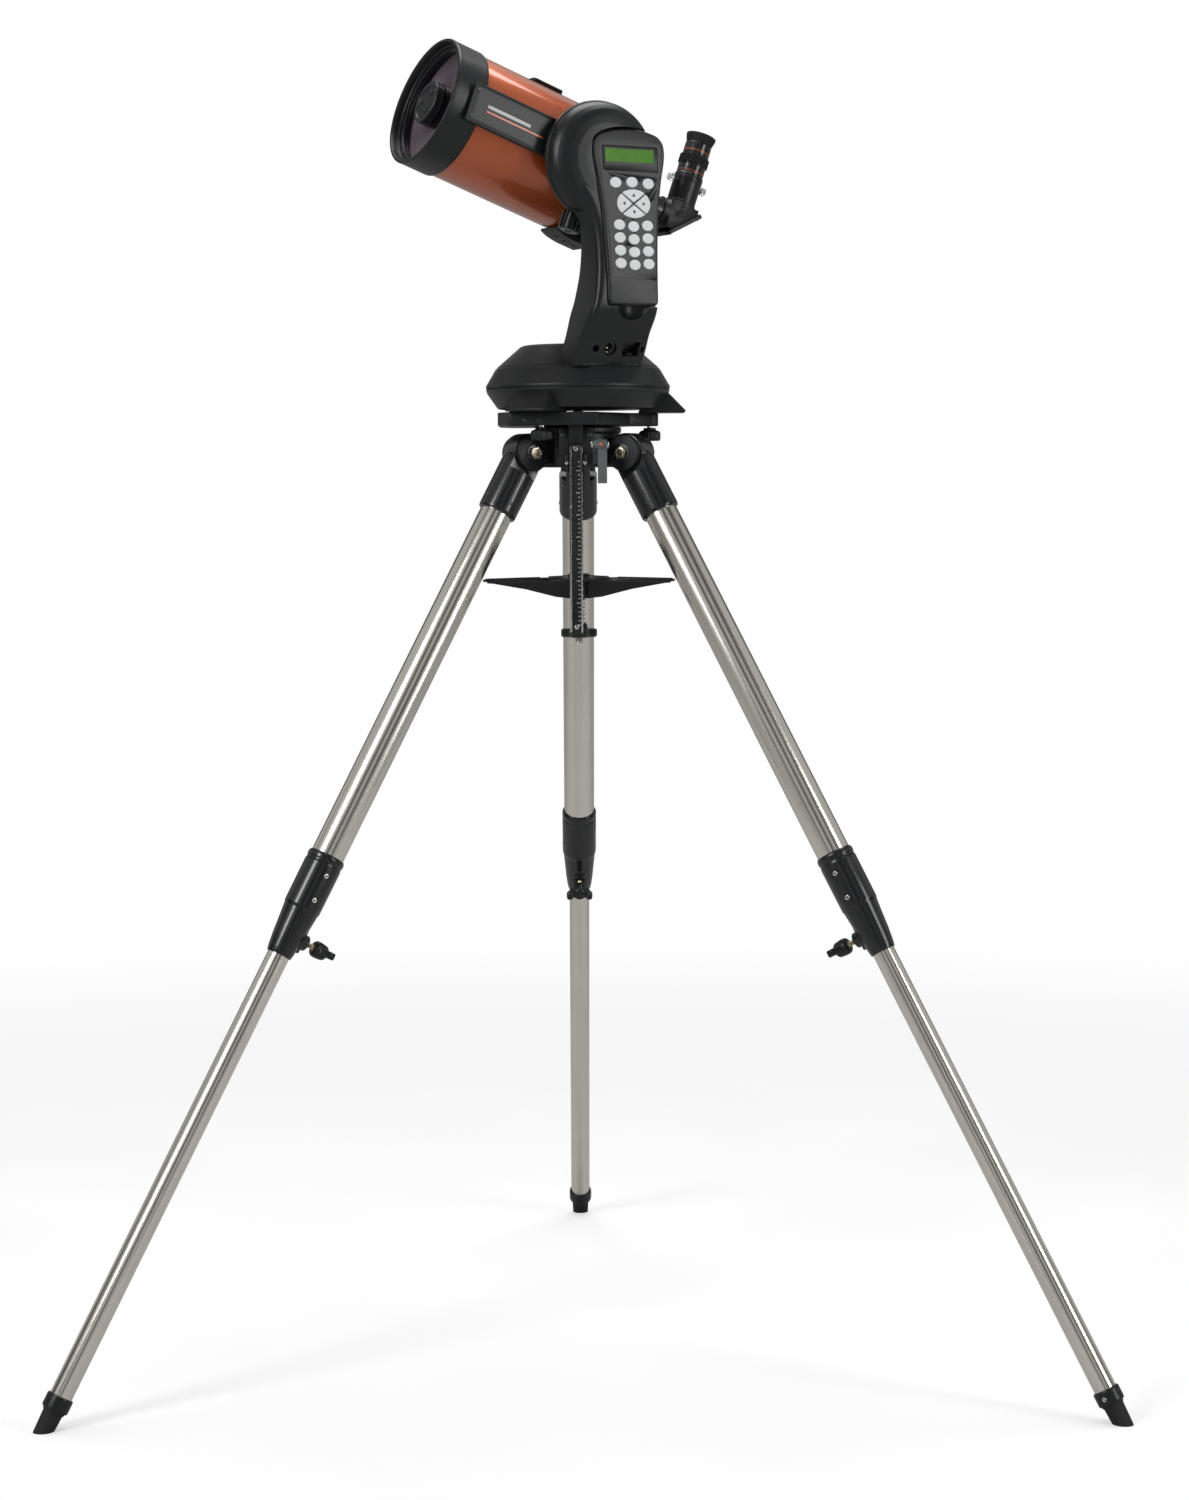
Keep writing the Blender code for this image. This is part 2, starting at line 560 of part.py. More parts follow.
def make_base():
    """Dish fixed on the tilt plate, worm wheel inside it, and the shell that turns on its post."""
    wall = SPLIT_Z - GAP
    profile = [
        (0, POST_TOP), (POST_R, POST_TOP), (POST_R, 1110 * MM), (17 * MM, 1109 * MM), (17 * MM, 1107 * MM),
        (88 * MM, 1107 * MM), (98 * MM, wall), (BASE_R, wall), (92 * MM, BASE_BOTTOM), (0, BASE_BOTTOM),
    ]
    dish = turned("lower_base", profile, BLACK, MOUNT, steps=48)
    foot_bottom = PLATE_TOP + GAP
    for angle in SCREW_AZIMUTHS:
        spin = angle - MOUNT_TURN
        sections = []
        for inner, outer, half, z in ((70, 125, 26, foot_bottom), (70, 122, 25, foot_bottom + 4 * MM),
                                      (80, 104, 18, SPLIT_Z - 3 * MM)):
            corners = [(inner, -half), (outer, -half), (outer, half), (inner, half)]
            sections.append([(x * MM, y * MM, z) for x, y in corners])
        wedge = loft("wedge_foot", sections, None, MOUNT, rotation=(0, 0, spin))
        join(dish, wedge)
    cavity_profile = [
        (17.5 * MM, wall + MM), (98.3 * MM, wall + MM), (88 * MM, 1107.2 * MM), (17.5 * MM, 1107.2 * MM),
    ]
    cavity = turned("dish_cavity", cavity_profile, None, MOUNT, steps=48, ring=True)
    cut(dish, cavity)
    for angle in SCREW_AZIMUTHS:
        spot = (*polar(SCREW_CIRCLE, angle - MOUNT_TURN), 0)
        hole = rod("foot_hole", 3.3 * MM, 1090 * MM, 1130 * MM, None, MOUNT, spot, steps=16)
        cut(dish, hole)

    outline = toothed(AZIMUTH_WHEEL_R, TOOTH_DEPTH, 30)
    wheel = slab("azimuth_worm_wheel", outline, 1111 * MM, 1119 * MM, BRASS, MOUNT)
    bore = rod("wheel_bore", POST_R + GAP, 1100 * MM, 1130 * MM, None, MOUNT, steps=36)
    cut(wheel, bore)

    shell_low = SPLIT_Z + GAP
    skin = 4 * MM
    profile = [
        (POST_R + GAP, BASE_TOP), (63 * MM, BASE_TOP), (92 * MM, 1150 * MM), (BASE_R, 1129 * MM),
        (BASE_R, shell_low), (BASE_R - skin, shell_low), (92 * MM - skin, 1148 * MM),
        (61 * MM, BASE_TOP - skin), (20 * MM, BASE_TOP - skin), (20 * MM, shell_low),
        (POST_R + GAP, shell_low),
    ]
    shell = turned("upper_base", profile, BLACK, MOUNT, steps=48, ring=True)
    notch = box("arm_notch", (-43 * MM, 53 * MM, 1148.5 * MM), (58 * MM, 120 * MM, 1190 * MM), None, MOUNT)
    cut(shell, notch)


def toothed(radius, depth, teeth):
    """A wheel's outline with square teeth."""
    outline = []
    for i in range(teeth):
        for share, drop in ((0, depth), (0.25, depth), (0.5, 0), (0.75, 0)):
            outline.append(polar(radius - drop, 2 * math.pi * (i + share) / teeth))
    return outline


def arm_section(z, inner, outer, back, front):
    """Rounded section across the arm: back and front are the X spans of its two long sides; millimetres."""
    corners = [(back[0], inner), (back[1], inner), (front[1], outer), (front[0], outer)]
    return [(px * MM, py * MM, z * MM) for px, py in rounded(corners, 5, 3)]


def make_arm():
    """Hollow fork arm with a round head, a recess for the hand controller and a panel of sockets."""
    sections = [
        arm_section(1149, 54, 89.5, (-42, 57), (-34.5, 50)),
        arm_section(1168, 57, 98.5, (-42, 54), (-35.5, 49.5)),
        arm_section(1186, 61, 107, (-42, 50.5), (-36, 49)),
        arm_section(1206, 65, 120, (-42, 47.5), (-37, 46)),
        arm_section(1225, 69, 123.5, (-42, 43.5), (-38, 42)),
        arm_section(1260, 77, 121.5, (-42, 41), (-38, 38)),
        arm_section(1300, 87.2, 119, (-44, 46), (-40, 39.5)),
        arm_section(1330, 88, 117, (-48, 62), (-41.5, 48)),
        arm_section(1352, 88, 115, (-52, 76), (-42, 60)),
        arm_section(1385, 88, 112, (-52, 86), (-42, 70)),
    ]
    arm = loft("fork_arm", sections, BLACK, MOUNT)
    head_profile = [
        (0, 117 * MM), (30 * MM, 116.5 * MM), (48 * MM, 114 * MM), (58 * MM, 109.5 * MM),
        (64 * MM, 103.5 * MM), (67 * MM, 96 * MM), (67 * MM, 91 * MM), (64.5 * MM, 87 * MM), (0, 87 * MM),
    ]
    head = turned("arm_head", head_profile, None, MOUNT, (HEAD_X, 0, ALTITUDE_Z - HEAD_DROP), SIDEWAYS, 40)
    join(arm, head)
    spindle = (ALTITUDE_X, 0, ALTITUDE_Z)
    recess = slab("controller_recess", pad_outline(1.2, 15), -PAD_THICK - GAP, 12 * MM, None, PAD)
    cut(arm, recess)
    duct = box("cable_duct", (-28 * MM, 92.5 * MM, 1190 * MM), (22 * MM, 99.5 * MM, 1360 * MM), None, MOUNT)
    cut(arm, duct)
    lean = math.atan2(107 - 89.5, 1186 - 1149)
    panel = empty("port_panel", (PANEL_X, 89.5 * MM, 1149 * MM), (-lean, 0, 0), MOUNT)
    for x, half, height in ((-19, 10.5, 8.5), (-33.5, 1.8, 2.5)):
        socket = box("port_socket", ((x - half) * MM, -14 * MM, (21 - height) * MM),
                     ((x + half) * MM, 8 * MM, (21 + height) * MM), None, panel)
        cut(arm, socket)
    for x, radius in ((8, 8), (26, 4.2)):
        jack = rod("port_jack", radius * MM, -12 * MM, 10 * MM, None, panel, (x * MM, 0, 21 * MM),
                   SIDEWAYS, 24)
        cut(arm, jack)
    thumb = bmesh.new()
    bmesh.ops.create_uvsphere(thumb, u_segments=24, v_segments=12, radius=21 * MM)
    mesh = bpy.data.meshes.new("thumb_notch")
    thumb.to_mesh(mesh)
    thumb.free()
    notch = place("thumb_notch", mesh, None, MOUNT, (PAD_X, 133 * MM, 1213 * MM))
    cut(arm, notch)
    gear_room = rod("gear_room", 34 * MM, 91.2 * MM, 98.5 * MM, None, MOUNT, spindle, SIDEWAYS, 32)
    hub_bore = rod("hub_bore", 19 * MM, 80 * MM, 93 * MM, None, MOUNT, spindle, SIDEWAYS, 30)
    cut(arm, gear_room, hub_bore)

    outline = toothed(ALTITUDE_WHEEL_R, TOOTH_DEPTH - MM, 24)
    wheel = slab("altitude_worm_wheel", outline, 92 * MM, 97.5 * MM, BRASS, TUBE, rotation=SIDEWAYS)
    bore = rod("altitude_wheel_bore", 8 * MM + GAP, 90 * MM, 110 * MM, None, TUBE, rotation=SIDEWAYS,
               steps=28)
    cut(wheel, bore)


def pad_outline(grow, open_side=0):
    """The controller's outline in its own plane, in metres: X across, Y up.

    grow widens it all round and open_side lengthens it on the right only, both in millimetres.
    """
    half = [(0, -0.5), (30, 1), (32, 4), (32.5, 30), (34, 70), (37, 110), (41.5, 140), (46, 160)]
    half += [(47, 172), (45, 183), (38, 190.5), (20, 196), (0, 197.5)]
    middle = 100
    right = []
    for x, y in half:
        right.append((x + grow if x else 0, y + grow * (1 if y > middle else -1) * (y < 2 or y > 180)))
    left = [(-x, y) for x, y in reversed(right) if x]
    right = [(x + open_side if x else 0, y) for x, y in right]
    return [(x * MM, y * MM) for x, y in right + left]


def ellipse(x, y, width, height, count=16):
    """An oval outline in metres, from its centre and sizes in millimetres."""
    turns = [2 * math.pi * i / count for i in range(count)]
    return [((x + width / 2 * math.cos(t)) * MM, (y + height / 2 * math.sin(t)) * MM) for t in turns]


def sector(x, y, width, height, middle, grow=0):
    """One quarter of the oval direction pad, between diagonal gaps, as an outline in metres."""
    gap = 1.1 - grow
    turns = [math.radians(middle - 45 + 90 * i / 8) for i in range(9)]
    points = [((width / 2 + grow) * math.cos(t), (height / 2 + grow) * math.sin(t)) for t in turns]
    centre = (gap * 1.7 * math.cos(math.radians(middle)), gap * 1.25 * math.sin(math.radians(middle)))
    first = Vector(points[0])
    last = Vector(points[-1])
    across = (last - first).normalized() * gap
    points[0] = tuple(first + across)
    points[-1] = tuple(last - across)
    points.append(centre)
    return [((px + x) * MM, (py + y) * MM) for px, py in points]


def make_controller():
    """Hand controller: body with pockets, display window, jointed soft and direction keys, number keypad."""
    body = slab("controller_body", pad_outline(0), -PAD_THICK, 0, BLACK, PAD)
    window = rounded([(-33.5, 149.5), (36.5, 149.5), (36.5, 177), (-33.5, 177)], 1.5, 2)
    window = [(x * MM, y * MM) for x, y in window]
    pocket = rounded([(-33.9, 149.1), (36.9, 149.1), (36.9, 177.4), (-33.9, 177.4)], 1.6, 2)
    pocket = [(x * MM, y * MM) for x, y in pocket]
    cut(body, slab("window_pocket", pocket, -2.5 * MM, MM, None, PAD))
    slab("display_window", window, -2.2 * MM, -0.4 * MM, DISPLAY, PAD)
    for number, x in enumerate((-18.5, 2.5, 23.5), 1):
        y = 136 + (1 if number == 2 else 0)
        pocket = slab("key_pocket", ellipse(x, y, 14.8, 12.8), KEY_FLOOR, MM, None, PAD)
        cut(body, pocket)
        slab(f"soft_key_{number}", ellipse(x, y, 14, 12), KEY_LOW, KEY_HIGH, KEYS, PAD)
    for name, middle in (("right", 0), ("up", 90), ("left", 180), ("down", 270)):
        around = sector(KEY_SHIFT + 1, 113, 42, 32, middle, 0.4)
        pocket = slab("direction_pocket", around, KEY_FLOOR, MM, None, PAD)
        cut(body, pocket)
        quarter = sector(KEY_SHIFT + 1, 113, 42, 32, middle)
        slab("direction_key_" + name, quarter, KEY_LOW, KEY_HIGH, KEYS, PAD)
    tray = rounded([(-24.3, 38), (29.3, 38), (29.3, 96.5), (-24.3, 96.5)], 5, 3)
    tray = [(x * MM, y * MM) for x, y in tray]
    cut(body, slab("keypad_pocket", tray, -3 * MM, MM, None, PAD))
    mat = rounded([(-23.8, 38.5), (28.8, 38.5), (28.8, 96), (-23.8, 96)], 5, 3)
    mat = [(x * MM, y * MM) for x, y in mat]
    keypad = slab("number_keys", mat, -2.7 * MM, -0.5 * MM, KEYS, PAD)
    for row in range(4):
        for column in (-1, 0, 1):
            y = 89 - 14.3 * row - (1.5 if column == 0 else 0)
            outline = ellipse(KEY_SHIFT + 18 * column, y, 14, 12, 12)
            key = slab("number_key", outline, -1.5 * MM, KEY_HIGH, None, PAD)
            join(keypad, key)


MOUNT = empty("azimuth_axis", (0, 0, 0), (0, 0, MOUNT_TURN), AXIS)
TUBE = empty("altitude_axis", (ALTITUDE_X, 0, ALTITUDE_Z), (0, -ALTITUDE, 0), MOUNT)
# The controller's frame: its face is the XY plane, Z leaves the face, Y runs up it.
PAD = empty("controller_frame", (PAD_X, PAD_Y, PAD_Z), (math.pi / 2 - PAD_LEAN, 0, math.pi), MOUNT)
make_base()
make_arm()
make_controller()


def make_tube():
    """Optical tube, pointing along X of its frame: cells, corrector, mirrors, baffle and clamp rail."""
    pipe("optical_tube", TUBE_R, TUBE_R - 1.6 * MM, TUBE_REAR, FRONT_RIM - CELL_LENGTH + 8 * MM, ORANGE, TUBE,
         rotation=ALONG, steps=48)
    back = FRONT_RIM - CELL_LENGTH
    inner = TUBE_R + GAP
    profile = [
        (70.7 * MM, FRONT_RIM), (73.6 * MM, FRONT_RIM), (CELL_R, FRONT_RIM - 1.2 * MM), (CELL_R, back + MM),
        (73.8 * MM, back), (inner, back), (inner, back + 8.4 * MM), (69 * MM, back + 9 * MM),
        (64 * MM, back + 16 * MM), (64 * MM, back + 22 * MM), (68.3 * MM, back + 22 * MM),
        (68.3 * MM, back + 29 * MM), (69.5 * MM, back + 36 * MM),
    ]
    turned("front_cell", profile, BLACK, TUBE, rotation=ALONG, steps=48, ring=True)
    glass = back + 22 * MM + GAP
    face = glass + CORRECTOR_THICK
    pipe("corrector_plate", CORRECTOR_R, 20 * MM, glass, face, GLASS, TUBE, rotation=ALONG, steps=48)
    face += GAP
    profile = [
        (0, face + SECONDARY_DEPTH), (SECONDARY_R - 1.5 * MM, face + SECONDARY_DEPTH),
        (SECONDARY_R, face + SECONDARY_DEPTH - 1.5 * MM), (SECONDARY_R, face),
        (20 * MM - GAP, face), (20 * MM - GAP, glass - GAP), (24 * MM, glass - GAP),
        (22.5 * MM, glass - 26 * MM), (18 * MM, glass - 26 * MM), (18 * MM, glass - 22 * MM),
        (0, glass - 22 * MM),
    ]
    turned("secondary_housing", profile, BLACK, TUBE, rotation=ALONG, steps=36)
    baffle_end = REAR_FACE + 9 * MM
    profile = [
        (14 * MM, 70 * MM), (15 * MM, 70 * MM), (18.5 * MM, baffle_end + 10 * MM), (18.5 * MM, baffle_end),
        (16.3 * MM, baffle_end), (16.3 * MM, baffle_end + 10 * MM),
    ]
    turned("baffle_tube", profile, BLACK, TUBE, rotation=ALONG, steps=32, ring=True)
    profile = [
        (19 * MM, -42.5 * MM), (40 * MM, -41.5 * MM), (66 * MM, -39 * MM), (66 * MM, -49 * MM),
        (19 * MM, -49 * MM),
    ]
    turned("primary_mirror", profile, MIRROR, TUBE, rotation=ALONG, steps=40, ring=True)
    profile = [
        (TUBE_R - 2 * MM, TUBE_REAR + 7 * MM), (CELL_R, TUBE_REAR + 7 * MM), (CELL_R, -60 * MM),
        (71 * MM, -68 * MM), (60 * MM, -80 * MM), (52 * MM, -85 * MM), (30 * MM, REAR_FACE),
        (17 * MM, REAR_FACE),
        (17 * MM, baffle_end - GAP), (47 * MM, baffle_end - GAP), (58 * MM, -74 * MM),
        (68 * MM, -62 * MM), (TUBE_R - 2 * MM, -56 * MM),
    ]
    cell = turned("rear_cell", profile, BLACK, TUBE, rotation=ALONG, steps=48, ring=True)
    block = box("bottom_block", (-62 * MM, -20 * MM, -80 * MM), (-14 * MM, 20 * MM, -TUBE_R - 0.6 * MM),
                None, TUBE)
    join(cell, block)
    groove = pipe("tube_groove", TUBE_R + GAP, TUBE_R - 1.6 * MM - GAP, TUBE_REAR - GAP, 0, None, TUBE,
                  rotation=ALONG, steps=48)
    cut(cell, groove)
    knob_spot = (0, -FOCUS_KNOB_OFFSET, FOCUS_KNOB_OFFSET)
    shaft_hole = rod("focus_hole", 4.4 * MM, -100 * MM, -60 * MM, None, TUBE, knob_spot, ALONG, 16)
    cut(cell, shaft_hole)
    profile = [
        (0, -62 * MM), (4 * MM, -62 * MM), (4 * MM, -91 * MM), (12.5 * MM, -91 * MM), (13 * MM, -93 * MM),
        (12.3 * MM, -112 * MM), (11 * MM, -113.5 * MM), (0, -113.5 * MM),
    ]
    turned("focus_knob", profile, RUBBER, TUBE, knob_spot, ALONG, 28)

    waist = RAIL_HALF - 4 * MM
    rail = [(-RAIL_HALF, 72.3 * MM), (RAIL_HALF, 72.3 * MM), (waist, 76 * MM), (RAIL_HALF, RAIL_TOP),
            (-RAIL_HALF, RAIL_TOP), (-waist, 76 * MM)]
    bar = slab("dovetail_rail", rail, -160 * MM, 60 * MM, BLACK, TUBE, rotation=(0, -math.pi / 2, 0))
    bed = rod("rail_bed", TUBE_R + GAP, -100 * MM, FRONT_RIM - CELL_LENGTH + 3 * MM, None, TUBE,
              rotation=ALONG, steps=48)
    cell_bed = rod("rail_cell_bed", CELL_R + GAP, FRONT_RIM - CELL_LENGTH - GAP, 200 * MM, None, TUBE,
                   rotation=ALONG, steps=48)
    rear_bed = rod("rail_rear_bed", CELL_R + GAP, -100 * MM, TUBE_REAR + 7 * MM + GAP, None, TUBE,
                   rotation=ALONG, steps=48)
    cut(bar, bed, cell_bed, rear_bed)

    foot = [(-11, 70), (11, 70), (9, 73.5), (11.5, 76.8), (-11.5, 76.8), (-9, 73.5)]
    foot = [(x * MM, y * MM) for x, y in foot]
    shoe = slab("finder_foot", foot, 25 * MM, 65 * MM, BLACK, TUBE, rotation=(math.pi / 2, 0, math.pi / 2))
    bed = rod("foot_bed", TUBE_R + GAP, 0, 80 * MM, None, TUBE, rotation=ALONG, steps=48)
    cut(shoe, bed)


def make_altitude_hub():
    """Clamp that turns in the arm's head and grips the rail, with its ribbed knob."""
    profile = [
        (0, 98 * MM), (8 * MM, 98 * MM), (8 * MM, 91.4 * MM), (18 * MM, 91.4 * MM), (18 * MM, 86 * MM),
        (46 * MM, 86 * MM), (48 * MM, 84 * MM), (48 * MM, 80.5 * MM), (0, 80.5 * MM),
    ]
    hub = turned("altitude_hub", profile, BLACK, TUBE, rotation=SIDEWAYS, steps=40)
    jaw = box("clamp_jaw", (-24 * MM, 76.2 * MM, -31 * MM), (24 * MM, 83 * MM, -22.6 * MM), None, TUBE)
    fixed = box("fixed_jaw", (-24 * MM, 76.2 * MM, 22.6 * MM), (24 * MM, 83 * MM, 31 * MM), None, TUBE)
    lug = box("knob_lug", (-13 * MM, 67.5 * MM, -64 * MM), (5 * MM, 82 * MM, -27 * MM), None, TUBE)
    join(hub, jaw, fixed, lug)
    spot = (CLAMP_KNOB_X, CLAMP_KNOB_Y, 0)
    lug_hole = rod("knob_lug_hole", 3.6 * MM, -80 * MM, -32 * MM, None, TUBE, spot, steps=16)
    cut(hub, lug_hole)

    ribs = 14
    valley = CLAMP_KNOB_R - 1.6 * MM
    outline = []
    for i in range(ribs):
        for share, radius in ((0, valley), (0.3, CLAMP_KNOB_R), (0.7, CLAMP_KNOB_R)):
            outline.append(polar(radius, 2 * math.pi * (i + share) / ribs))
    knob = slab("dovetail_clamp_knob", outline, -87 * MM, -65 * MM, BLACK, TUBE, spot)
    screw = rod("clamp_screw", 3 * MM, -70 * MM, -34 * MM, None, TUBE, spot, steps=16)
    join(knob, screw)


def make_diagonal():
    """Visual back, star diagonal with its eyepiece holder, eyepiece and rubber eyecup."""
    pipe("visual_back", 26 * MM, NOSE_R + GAP, REAR_FACE - 22 * MM, REAR_FACE - GAP, BLACK, TUBE,
         rotation=ALONG, steps=32)
    x = DIAGONAL_X
    side = 17.5 * MM
    body = box("star_diagonal", (x - side, -side, -side), (x + 19 * MM, side, 15.5 * MM), BLACK, TUBE)
    wedge = box("diagonal_slope", (-60 * MM, -40 * MM, -60 * MM), (60 * MM, 40 * MM, 0), None, TUBE,
                location=(x - 4 * MM, 0, -4 * MM), rotation=(0, math.radians(45), 0))
    cut(body, wedge)
    cover = box("mirror_cover", (-26 * MM, GAP - side, -MM), (26 * MM, side - GAP, 3.5 * MM), None, TUBE,
                location=(x - 5 * MM, 0, -5 * MM), rotation=(0, math.radians(45), 0))
    nose = rod("diagonal_nose", NOSE_R, x + 10 * MM, REAR_FACE - 4 * MM, None, TUBE, rotation=ALONG, steps=32)
    collar = rod("nose_collar", 18 * MM, x + 10 * MM, x + 27 * MM, None, TUBE, rotation=ALONG, steps=32)
    holder = rod("eyepiece_holder", 17.2 * MM, 11 * MM, 51 * MM, None, TUBE, (x, 0, 0), steps=32)
    join(body, cover, collar, nose, holder)
    light_path = rod("nose_bore", 13.5 * MM, x - 4 * MM, REAR_FACE + 10 * MM, None, TUBE, rotation=ALONG,
                     steps=28)
    socket = rod("holder_bore", NOSE_R + GAP, 20 * MM, 60 * MM, None, TUBE, (x, 0, 0), steps=32)
    throat = rod("holder_throat", 13 * MM, -2 * MM, 30 * MM, None, TUBE, (x, 0, 0), steps=28)
    cut(body, light_path, socket, throat)

    profile = [
        (10 * MM, 93 * MM), (15 * MM, 93 * MM), (15.6 * MM, 92 * MM), (15.8 * MM, 78 * MM),
        (17.8 * MM, 76.8 * MM), (17.8 * MM, 67 * MM), (16 * MM, 65.8 * MM), (16 * MM, 53 * MM),
        (17.3 * MM, 52.5 * MM), (17.3 * MM, 51.5 * MM), (NOSE_R, 51.5 * MM), (NOSE_R, 24 * MM),
        (14.5 * MM, 24 * MM), (14.5 * MM, 50 * MM), (10 * MM, 60 * MM),
    ]
    turned("eyepiece", profile, GLOSS, TUBE, (x, 0, 0), steps=32, ring=True)
    profile = [
        (16.8 * MM, 103.5 * MM), (17.8 * MM, 103 * MM), (16 * MM, 95 * MM), (15.4 * MM, 93 * MM + GAP),
        (12 * MM, 93 * MM + GAP), (12 * MM, 95 * MM), (14.4 * MM, 95 * MM),
    ]
    turned("eyecup", profile, RUBBER, TUBE, (x, 0, 0), steps=32, ring=True)


make_tube()
make_altitude_hub()
make_diagonal()
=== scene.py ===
"""Looks for the telescope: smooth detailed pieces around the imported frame, soft studio light and a camera."""

import math

import bmesh
import bpy
from mathutils import Euler, Matrix, Vector


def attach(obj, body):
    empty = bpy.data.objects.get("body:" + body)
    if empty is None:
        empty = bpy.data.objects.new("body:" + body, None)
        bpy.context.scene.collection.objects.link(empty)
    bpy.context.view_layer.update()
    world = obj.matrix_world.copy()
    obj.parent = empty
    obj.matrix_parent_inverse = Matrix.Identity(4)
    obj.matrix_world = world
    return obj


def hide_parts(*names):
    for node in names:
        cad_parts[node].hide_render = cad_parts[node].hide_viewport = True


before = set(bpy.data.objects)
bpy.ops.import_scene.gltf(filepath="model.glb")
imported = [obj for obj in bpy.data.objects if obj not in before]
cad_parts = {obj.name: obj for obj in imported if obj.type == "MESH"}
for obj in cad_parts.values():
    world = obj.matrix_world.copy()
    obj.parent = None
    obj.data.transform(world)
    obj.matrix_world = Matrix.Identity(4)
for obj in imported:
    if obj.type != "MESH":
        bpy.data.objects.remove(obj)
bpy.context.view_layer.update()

MM = 0.001
FOOT_RADIUS = 673.2 * MM
AXIS_Y = -FOOT_RADIUS / 4
LEG_ANGLE = math.radians(29.85)
LEG_AZIMUTHS = [math.radians(a) for a in (90, 210, 330)]
PIVOT_RADIUS = 69.5 * MM
PIVOT_HEIGHT = 1052 * MM
LEG_LENGTH = (FOOT_RADIUS - PIVOT_RADIUS) / math.sin(LEG_ANGLE)
UPPER_R = 19.05 * MM
LOWER_R = 12.7 * MM
SLEEVE_R = 22.5 * MM
SLEEVE_END = 79.3 * MM
CLAMP_TOP = 518 * MM
CLAMP_END = 641 * MM
KNOB_STATION = 616 * MM
TRAY_R = 125 * MM
TRAY_Z = 905 * MM
PLATE_BOTTOM = 1083 * MM
PLATE_TOP = 1098 * MM
HINGE_Y = 92 * MM
SCREW_CIRCLE = 83 * MM
SCREW_AZIMUTHS = [math.radians(a) for a in (0, 120, 240)]
BASE_BOTTOM = 1103 * MM
SPLIT_Z = 1126 * MM
BASE_TOP = 1176 * MM
BASE_R = 106.5 * MM
ALTITUDE = math.radians(20)
ALTITUDE_X = 25 * MM
ALTITUDE_Z = 1383.1 * MM
TUBE_R = 71.8 * MM
CELL_R = 74.5 * MM
FRONT_RIM = 180.4 * MM
CELL_BACK = FRONT_RIM - 39.5 * MM
REAR_FACE = -88 * MM
DIAGONAL_X = -167 * MM
NOSE_R = 15.875 * MM
PAD_X = -3.5 * MM
PAD_LEAN = math.radians(4)


def shifted(base, location=(0, 0, 0), rotation=(0, 0, 0)):
    """A frame inside another one."""
    return base @ Matrix.Translation(location) @ Euler(rotation).to_matrix().to_4x4()


AXIS = Matrix.Translation((0, AXIS_Y, 0))
MOUNT = shifted(AXIS, rotation=(0, 0, math.radians(208.5)))
TUBE = shifted(MOUNT, (ALTITUDE_X, 0, ALTITUDE_Z), (0, -ALTITUDE, 0))
PAD = shifted(MOUNT, (PAD_X, 127 * MM, 1216 * MM), (math.pi / 2 - PAD_LEAN, 0, math.pi))
SIDEWAYS = (-math.pi / 2, 0, 0)
ALONG = (0, math.pi / 2, 0)


# Shapes. Every function returns an object whose matrix places it in the shared frame.

def put(name, mesh, base):
    made = bpy.data.objects.new(name, mesh)
    bpy.context.scene.collection.objects.link(made)
    made.matrix_world = base
    return made


def polar(radius, angle):
    return radius * math.cos(angle), radius * math.sin(angle)


def soften(points, radius, closed=False, count=4):
    """Corners of an outline replaced by short curves; radius is one number or one per corner."""
    total = len(points)
    out = []
    for i, point in enumerate(points):
        reach = radius[i] if isinstance(radius, (list, tuple)) else radius
        if reach <= 0 or (not closed and i in (0, total - 1)):
            out.append(tuple(point))
            continue
        here = Vector(point)
        back = Vector(points[i - 1]) - here
        ahead = Vector(points[(i + 1) % total]) - here
        limit = min(reach, back.length * 0.45, ahead.length * 0.45)
        if limit < 1e-7:
            out.append(tuple(point))
            continue
        start = here + back.normalized() * limit
        end = here + ahead.normalized() * limit
        for k in range(count + 1):
            t = k / count
            out.append(tuple(start * (1 - t) ** 2 + here * 2 * t * (1 - t) + end * t * t))
    return out


def shade(obj, angle=35):
    obj.data.shade_smooth()
    obj.data.set_sharp_from_angle(angle=math.radians(angle))
    return obj


def mesh_of(name, verts, faces):
    mesh = bpy.data.meshes.new(name)
    mesh.from_pydata(verts, [], faces)
    shape = bmesh.new()
    shape.from_mesh(mesh)
    bmesh.ops.remove_doubles(shape, verts=shape.verts, dist=1e-7)
    bmesh.ops.recalc_face_normals(shape, faces=shape.faces)
    shape.to_mesh(mesh)
    shape.free()
    return mesh


def turned(name, profile, base, ring=False, fillet=0.0, steps=96, wave=None):
    """A profile of (radius, height) turned about Z; wave(angle, radius, height) may change the radius."""
    profile = soften(profile, fillet, ring) if fillet else profile
    verts = []
    for radius, height in profile:
        for k in range(steps):
            angle = 2 * math.pi * k / steps
            here = wave(angle, radius, height) if wave and radius > 0 else radius
            verts.append((here * math.cos(angle), here * math.sin(angle), height))
    faces = []
    rows = len(profile)
    for i in range(rows if ring else rows - 1):
        j = (i + 1) % rows
        for k in range(steps):
            m = (k + 1) % steps
            face = [i * steps + k, i * steps + m, j * steps + m, j * steps + k]
            if profile[i][0] <= 0:
                face = face[1:] if profile[j][0] > 0 else []
            elif profile[j][0] <= 0:
                face = face[:3]
            if face:
                faces.append(face)
    return shade(put(name, mesh_of(name, verts, faces), base))


def rod(name, radius, low, high, base, fillet=0.0, steps=64):
    profile = [(0, high), (radius, high), (radius, low), (0, low)]
    return turned(name, profile, base, fillet=fillet, steps=steps)


def pipe(name, outer, inner, low, high, base, fillet=0.0, steps=96):
    profile = [(inner, high), (outer, high), (outer, low), (inner, low)]
    return turned(name, profile, base, ring=True, fillet=fillet, steps=steps)


